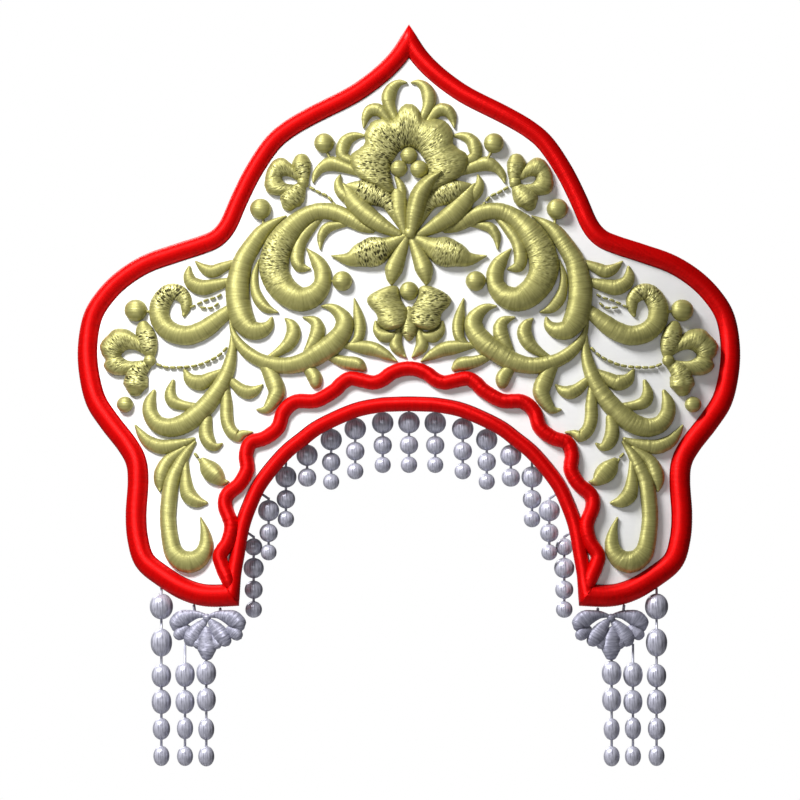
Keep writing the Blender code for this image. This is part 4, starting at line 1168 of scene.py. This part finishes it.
@dataclass(frozen=True)
class SatinCord:
    """Round cord wrapped in satin stitch, cut at the middle and at the mitre of the lower corner."""

    name: str
    node: str
    line: Callable[[int], list[Section]]
    foot: float
    foot_run: float = 0.012
    around: int = 16
    rib: float = 0.00060
    rib_height: float = 0.010
    kept_place: int = -20

    def build(self) -> None:
        """Wrap a flat grid round the cord's half line, cut it at both planes, then mirror it."""
        path = spaced(self.line(CURVE_STEPS), self.rib)
        last = len(path) - 1
        places = [CHART.front(x, z) for x, z, *_ in path]
        (first_x, first_z), (second_x, second_z) = (CHART.place(*corner) for corner in CORNER_MITRE)
        mitre = Vector((first_x, 0.0, first_z))
        normal = Vector((second_z - first_z, 0.0, first_x - second_x)).normalized()
        if (places[self.kept_place] - mitre).dot(normal) < 0.0:
            normal.negate()
        bm = bmesh.new()
        uv = bm.loops.layers.uv.new("stitch")
        made = bmesh.ops.create_grid(bm, x_segments=last, y_segments=self.around, size=0.5)
        marks = {}
        for vert in made["verts"]:
            index = round((vert.co.x + 0.5) * last)
            turn = (vert.co.y + 0.5) * math.tau
            x, z, radius, along = path[index]
            ahead = (places[min(index + 1, last)] - places[max(index - 1, 0)]).normalized()
            out = (CHART.front(x, z, 1.0) - places[index]).normalized()
            across = ahead.cross(out).normalized()
            out = across.cross(ahead)
            near = min(max(1.0 - (path[-1][-1] - along) / self.foot_run, 0.0), 1.0)
            rib = 1.0 + (self.rib_height if index % 2 else -self.rib_height)
            deep = radius + (self.foot - radius) * near * near * (3.0 - 2.0 * near)
            place = places[index] + rib * (deep * math.cos(turn) * out + radius * math.sin(turn) * across)
            if index == 0 or place.x < 0.0:
                place -= ahead * (place.x / ahead.x)
                place.x = 0.0
            beyond = (place - mitre).dot(normal)
            if index == last or (near > 0.0 and beyond < 0.0):
                place -= ahead * (beyond / ahead.dot(normal))
            marks[vert] = (along, radius * turn)
            vert.co = place
        for face in bm.faces:
            for loop in face.loops:
                loop[uv].uv = marks[loop.vert]
        bmesh.ops.remove_doubles(bm, verts=bm.verts, dist=SLIVER)
        bmesh.ops.mirror(bm, geom=bm.verts[:] + bm.edges[:] + bm.faces[:], axis="X", merge_dist=SEAM)
        bmesh.ops.holes_fill(bm, edges=[edge for edge in bm.edges if edge.is_boundary])
        settle(bm, self.name, Finish.RED, (self.node,))


@dataclass(frozen=True)
class WaveCord:
    """Wavy cord sewn on the front above the brow cord."""

    seed: int = 11
    foot_run: float = 0.009
    foot_share: float = 0.35
    rib: float = 0.0006
    rib_height: float = 0.012
    direction_reach: int = 2

    def build(self) -> None:
        """Sew the cord as one padded line from foot to foot."""
        half = wave_path(CURVE_STEPS)
        whole = [(-x, z, width) for x, z, width in half[:0:-1]] + half
        work = StitchWork(1.0, self.seed, rib=self.rib, rib_height=self.rib_height)
        path = spaced(whole, work.rib)
        rings = []
        for index, (x, z, width, along) in enumerate(path):
            near = min(min(along, path[-1][-1] - along) / self.foot_run, 1.0)
            wide = width * (self.foot_share + (1.0 - self.foot_share) * near * (2.0 - near))
            run = heading(path, index, self.direction_reach) * wide
            rings.append((x - run.y, z + run.x, x, z, x + run.y, z - run.x, along))
        work.slope = WAVE_CORD_HEIGHT / WAVE_CORD_WIDTH
        work.highest = WAVE_CORD_HEIGHT
        work.rounded(rings)
        settle(work.bm, "stitched_wave_cord", Finish.RED, ("wave_cord",))


@dataclass(frozen=True)
class CrownPlate:
    """White satin board, cut flat and bent round the head."""

    steps: int = 4
    strip: float = 0.005
    clearance: float = 0.00005
    sharp: float = math.radians(40)

    def rim(self, line: Sequence[Section], others: Sequence[Section],
            inward: float) -> list[tuple[float, float]]:
        """Edge of the board beside a cord.

        Args:
            line: The cord's half line.
            others: The other cord's half line, which the board keeps clear of too.
            inward: Which side of the line the board is on.

        Returns:
            Places of the board's edge.
        """
        kept = []
        for index, (x, z, radius) in enumerate(line):
            run = heading(line, index)
            far = radius + self.clearance
            place = (x + inward * run.y * far, z - inward * run.x * far)
            if all(math.dist(place, other[:2]) > other[2] + self.clearance for other in others):
                kept.append(place)
        return kept

    def build(self) -> None:
        """Cut the board, slice it, give it a thickness and bend it."""
        edge, brow = CHART.edge_path(self.steps), CHART.brow_path(self.steps)
        outer, inner = self.rim(edge, brow, 1.0), self.rim(brow, edge, -1.0)
        outer = [(outer[0][0] - CHART.edge_cord, outer[0][1])] + outer
        inner = [(-2 * CHART.edge_cord, inner[0][1])] + inner
        bm = bmesh.new()
        bm.faces.new([bm.verts.new((x, 0.0, z)) for x, z in outer + inner[::-1]])
        for number in range(int(CHART.half_width / self.strip) + 1):
            bmesh.ops.bisect_plane(
                bm, geom=bm.verts[:] + bm.edges[:] + bm.faces[:], dist=1e-7,
                plane_co=(number * self.strip, 0.0, 0.0), plane_no=(-1.0, 0.0, 0.0), clear_outer=number == 0)
        bmesh.ops.mirror(bm, geom=bm.verts[:] + bm.edges[:] + bm.faces[:], axis="X", merge_dist=SEAM)
        bmesh.ops.recalc_face_normals(bm, faces=bm.faces)
        grown = bmesh.ops.extrude_face_region(bm, geom=bm.faces[:])
        for item in grown["geom"]:
            if isinstance(item, bmesh.types.BMVert):
                item.co.y = 1.0
        for vert in bm.verts:
            vert.co = CHART.front(vert.co.x, vert.co.z, CHART.plate / 2 * (1.0 - 2.0 * vert.co.y))
        made = settle(bm, "satin_crown", Finish.WHITE, ("crown_plate",))
        made.data.set_sharp_from_angle(angle=self.sharp)


@dataclass(frozen=True)
class HeadBand:
    """Plain vault behind the face arch that sits on the head."""

    thickness: float = 0.0025
    flare: float = 0.0020
    steps: int = 8
    foot_sections: int = 2
    along: float = 0.003
    deep: int = 6
    round_share: float = 0.3
    round_angle: float = math.radians(50)

    def build(self) -> None:
        """Stretch a grid over the vault, give it a wall and round its edges."""
        near = CHART.brow_cord + CHART.seat_gap
        half = CHART.brow_path(self.steps)[:-self.foot_sections * self.steps]
        path = spaced([(-x, z) for x, z, _ in half[:0:-1]] + [(x, z) for x, z, _ in half], self.along)
        last = len(path) - 1
        bm = bmesh.new()
        made = bmesh.ops.create_grid(bm, x_segments=last, y_segments=self.deep, size=0.5)
        for vert in made["verts"]:
            index = round((vert.co.x + 0.5) * last)
            deep = vert.co.y + 0.5
            x, z, _ = path[index]
            run = heading(path, index)
            off = self.thickness / 2 + self.flare * deep
            x, z = x - run.y * off, z + run.x * off
            place = CHART.front(x, z)
            place.y += near / abs((CHART.front(x, z, 1.0) - place).y) + CHART.band_depth * deep
            vert.co = place
        bmesh.ops.recalc_face_normals(bm, faces=bm.faces)
        piece = settle(bm, "satin_head_band", Finish.WHITE, ("head_band",))
        wall = piece.modifiers.new("Wall", "SOLIDIFY")
        wall.thickness = self.thickness
        wall.offset = 0.0
        round_off = piece.modifiers.new("Edges", "BEVEL")
        round_off.width = self.thickness * self.round_share
        round_off.segments = 3
        round_off.limit_method = "ANGLE"
        round_off.angle_limit = self.round_angle


@dataclass(frozen=True)
class BeadStrings:
    """Strings of thread-wound beads: the brow fringe and the side pendants."""

    fringe_radius: float = 0.0052
    pendant_radius: float = 0.0056
    space: float = 0.0011
    thread: float = 0.0006
    set_back: float = 0.78
    stagger: float = 0.0024
    longest_thread: float = 0.010
    slant: float = math.radians(35.0)
    around: int = 28
    down: int = 16
    thread_sides: int = 8
    thread_end: float = 0.0004
    shoulder: float = 0.03

    def rod(self, bm: bmesh.types.BMesh, length: float) -> list[bmesh.types.BMVert]:
        """Add an upright piece of thread round the middle.

        Args:
            bm: The shape that it is added to.
            length: Its length.

        Returns:
            Its corners.
        """
        made = bmesh.ops.create_cone(
            bm, cap_ends=True, segments=self.thread_sides, radius1=self.thread, radius2=self.thread,
            depth=length)
        return made["verts"]

    def string(self, name: str, node: str, place: Vector, top: float, beads: Sequence[Section],
               wall: Vector | None = None) -> None:
        """Thread beads on a string.

        Args:
            name: The piece's name.
            node: The node that it stands for.
            place: Where the string hangs.
            top: Height of the thread's top.
            beads: Middle height, radius and half height of each bead.
            wall: Where the thread's top runs on to, if it slants out to the head band.
        """
        bm = bmesh.new()
        uv = bm.loops.layers.uv.new("stitch")
        low = beads[-1][0] - beads[-1][2]
        self.rod(bm, top - low - self.thread_end)
        bmesh.ops.translate(bm, verts=bm.verts, vec=(0.0, 0.0, (top + low + self.thread_end) / 2))
        for middle, radius, half in beads:
            made = bmesh.ops.create_uvsphere(
                bm, u_segments=self.around, v_segments=self.down, radius=1.0, calc_uvs=True)
            verts = made["verts"]
            bmesh.ops.scale(bm, verts=verts, vec=(radius, radius, half))
            for vert in verts:
                wider = 1.0 + self.shoulder * (vert.co.z / half) ** 2
                vert.co.x *= wider
                vert.co.y *= wider
            bmesh.ops.translate(bm, verts=verts, vec=(0.0, 0.0, middle))
        for face in bm.faces:
            for loop in face.loops:
                turn, fall = loop[uv].uv
                loop[uv].uv = (turn, fall * 2.0)
        bmesh.ops.translate(bm, verts=bm.verts, vec=place)
        if wall:
            start = Vector((place.x, place.y, top - self.thread))
            turn = (wall - start).to_track_quat("Z", "Y").to_matrix().to_4x4()
            slanted = self.rod(bm, (wall - start).length)
            bmesh.ops.transform(bm, verts=slanted, matrix=turn)
            bmesh.ops.translate(bm, verts=slanted, vec=(wall + start) / 2)
        settle(bm, name, Finish.LILAC, (node,))

    def wall_seat(self, start: Vector) -> Vector:
        """Where a slanted thread from a bead's top reaches the head band's wall."""
        run = Vector((math.copysign(math.cos(self.slant), start.x), 0.0, math.sin(self.slant)))
        brow = CHART.brow_path()
        end = start.copy()
        while CHART.apart(end.x, end.z, brow) > self.thread + CHART.seat_gap:
            end += run * CHART.seat_gap / 2
        return end

    def build_fringe(self) -> None:
        """Hang the fringe from the head band, just behind the brow cord."""
        brow = [(x, z) for x, z, _ in CHART.brow_path()]
        behind = self.set_back * (CHART.brow_cord + self.fringe_radius)
        columns = [-entry[0] for entry in FRINGE[:0:-1]] + [entry[0] for entry in FRINGE]
        for number, (column, entry) in enumerate(zip(columns, FRINGE[:0:-1] + FRINGE), start=1):
            x, middle = CHART.place(column, entry[1])
            seat = min(CHART.read(abs(x) + self.thread * side, brow) for side in (-1.0, 1.0))
            beads = []
            for index, share in enumerate(entry[2]):
                radius = self.fringe_radius * share
                if index:
                    middle -= self.fringe_radius * entry[2][index - 1] + self.space + radius
                beads.append((middle, radius, radius))
            stagger = self.stagger * (FRINGE.index(entry) % 2)
            place = Vector((x, CHART.front(x, seat).y + behind + stagger, 0.0))
            top, crown = seat - CHART.seat_gap, beads[0][0] + beads[0][1]
            wall = None
            if top - crown >= self.longest_thread:
                top = crown + 2 * self.thread
                wall = self.wall_seat(Vector((x, place.y, top - self.thread)))
            self.string(f"beaded_fringe_{number:02d}", f"fringe_strand_{number:02d}", place, top, beads, wall)

    def build_pendants(self) -> None:
        """Hang the pendant strings under the side lobes."""
        for side, sign in (("left", -1.0), ("right", 1.0)):
            for name, column, top_row, rows in PENDANTS:
                x, top = CHART.place(column * sign, top_row)
                beads = [
                    (CHART.place(column, row)[1], self.pendant_radius * wide, self.pendant_radius * half)
                    for row, wide, half in rows]
                place = CHART.front(x, -CHART.arch_drop)
                place.z = 0.0
                self.string(
                    f"beaded_pendant_{side}_{name}", f"pendant_strand_{side}_{name}", place, top, beads)


@dataclass(frozen=True)
class Studio:
    """Camera straight in front, a large lamp from the upper left, and a white surround.

    Each lamp has its name, place, size and power.
    """

    picture: float = 0.384
    sensor: float = 36.0
    distance: float = 6.0
    centre: tuple[float, float] = (-0.0043, 0.0019)
    floor_drop: float = 1.5
    floor_reach: float = 3.0
    surround: float = 1.0
    ambient: float = 0.05
    lamps: tuple[tuple[str, tuple[float, float, float], float, float], ...] = (
        ("key", (-0.94, -1.00, 1.42), 0.6, 70.0),
        ("front", (-0.30, -1.95, 0.30), 0.9, 6.0),
        ("back", (-0.9, 1.5, 1.2), 1.0, 22.0),
    )

    def build(self) -> None:
        """Set up the camera, the lamps, the surround and the floor."""
        scene = bpy.context.scene
        lens = bpy.data.cameras.new("front_camera")
        lens.sensor_width = self.sensor
        lens.lens = self.sensor * self.distance / self.picture
        camera = bpy.data.objects.new("front_camera", lens)
        camera.location = (self.centre[0], -self.distance, self.centre[1])
        camera.rotation_euler = (math.pi / 2, 0.0, 0.0)
        scene.collection.objects.link(camera)
        scene.camera = camera
        for name, place, size, power in self.lamps:
            lamp = bpy.data.lights.new(f"{name}_lamp", "AREA")
            lamp.shape = "DISK"
            lamp.size = size
            lamp.energy = power
            stand = bpy.data.objects.new(f"{name}_lamp", lamp)
            stand.location = place
            stand.rotation_euler = (-Vector(place)).to_track_quat("-Z", "Y").to_euler()
            stand.visible_camera = False
            scene.collection.objects.link(stand)
        world = bpy.data.worlds.new("white_surround")
        world.use_nodes = True
        tree = world.node_tree
        glow = tree.nodes["Background"]
        glow.inputs["Color"].default_value = (1.0, 1.0, 1.0, 1.0)
        glow.inputs["Strength"].default_value = self.ambient
        seen = tree.nodes.new("ShaderNodeBackground")
        seen.inputs["Color"].default_value = (1.0, 1.0, 1.0, 1.0)
        seen.inputs["Strength"].default_value = self.surround
        choice = tree.nodes.new("ShaderNodeMixShader")
        path = tree.nodes.new("ShaderNodeLightPath")
        tree.links.new(path.outputs["Is Camera Ray"], choice.inputs[0])
        tree.links.new(glow.outputs[0], choice.inputs[1])
        tree.links.new(seen.outputs[0], choice.inputs[2])
        tree.links.new(choice.outputs[0], tree.nodes["World Output"].inputs[0])
        scene.world = world
        scene.view_settings.view_transform = "Standard"
        bm = bmesh.new()
        bmesh.ops.create_grid(bm, x_segments=4, y_segments=4, size=self.floor_reach)
        bmesh.ops.translate(bm, verts=bm.verts, vec=(0.0, 0.0, -self.floor_drop))
        mesh = bpy.data.meshes.new("studio_floor")
        bm.to_mesh(mesh)
        bm.free()
        mesh.materials.append(Finish.FLOOR.material)
        floor = bpy.data.objects.new("studio_floor", mesh)
        scene.collection.objects.link(floor)


SPRAYS = (
    Spray("scroll", (
        (INNER_CRESCENT, PLAIN), (MAIN_SCROLL, Pores(0.6, 0.36, 0.66)), (SMALL_CRESCENT, PLAIN),
        (SCROLL_BERRY_STALK, PLAIN), (FLOWER_LOWER_PETAL, Pores(0.4)), (FLOWER_RING, Pores(0.4, inner=True)),
        (FLOWER_UPPER_PETAL, Pores(0.7, 0.1, 0.75))),
        (SCROLL_BERRY, FLOWER_KNOT), (FLOWER_STEM,)),
    Spray("side_spray", (
        (SIDE_CRESCENT_UPPER, PLAIN), (SIDE_CRESCENT_LOWER, PLAIN), (SIDE_VOLUTE, Pores(1.2, 0.62, 0.95)),
        (C_SCROLL, PLAIN), (BETWEEN_LEAF, PLAIN), (SPRAY_BERRY_STALK, PLAIN), (SIDE_BERRY_STALK, PLAIN)),
        (SPRAY_BERRY, SIDE_BERRY), JUMP_THREADS),
    Spray("lower_scroll", (
        (LOWER_CRESCENT_OUTER, PLAIN), (LOWER_CRESCENT_INNER, PLAIN), (UNDER_LEAF_INNER, PLAIN),
        (UNDER_LEAF_MIDDLE, PLAIN), (UNDER_LEAF_OUTER, PLAIN), (LOWER_RIGHT_LEAF, PLAIN),
        (LOWER_RIGHT_CRESCENT, PLAIN), (LOWER_SCROLL, PLAIN))),
    Spray("vine", (
        (VINE_LEAF_LONG, PLAIN), (VINE_LEAF_INNER, PLAIN), (VINE_LEAF_HIGH, PLAIN), (VINE_LEAF_LOW, PLAIN),
        (VINE_LEAF_FOOT, PLAIN), (VINE, PLAIN), (SIDE_FLOWER_LOWER_PETAL, Pores(0.7, 0.0, 0.8)),
        (SIDE_FLOWER_RING, Pores(0.5, inner=True)), (SIDE_FLOWER_UPPER_PETAL, Pores(1.0, 0.15, 0.8))),
        (SIDE_FLOWER_KNOT, SIDE_FLOWER_BERRY), (VINE_STEM,)),
    Spray("foot_spray", (
        (LOWER_LEFT_LEAF, PLAIN), (FOOT_SIDE_LEAF, PLAIN), (FOOT_INNER_LEAF, PLAIN), (FOOT_SCROLL, PLAIN),
        (DROP_LEAF, PLAIN)),
        (), (DROP_LEAF_STALK,)),
)


def main() -> None:
    """Build every piece of the headdress in order, then the studio."""
    logging.basicConfig(level=logging.INFO, format="%(message)s")
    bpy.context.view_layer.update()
    CrownPlate().build()
    HeadBand().build()
    SatinCord("stitched_edge_cord", "edge_cord", CHART.edge_path, CHART.edge_cord).build()
    SatinCord("stitched_brow_cord", "brow_cord", CHART.brow_seam, CHART.edge_cord).build()
    WaveCord().build()
    Bloom().build()
    Bouquet().build()
    for spray in SPRAYS:
        spray.build()
    PendantFan().build()
    strings = BeadStrings()
    strings.build_fringe()
    strings.build_pendants()
    Studio().build()


if __name__ == "__main__":
    main()
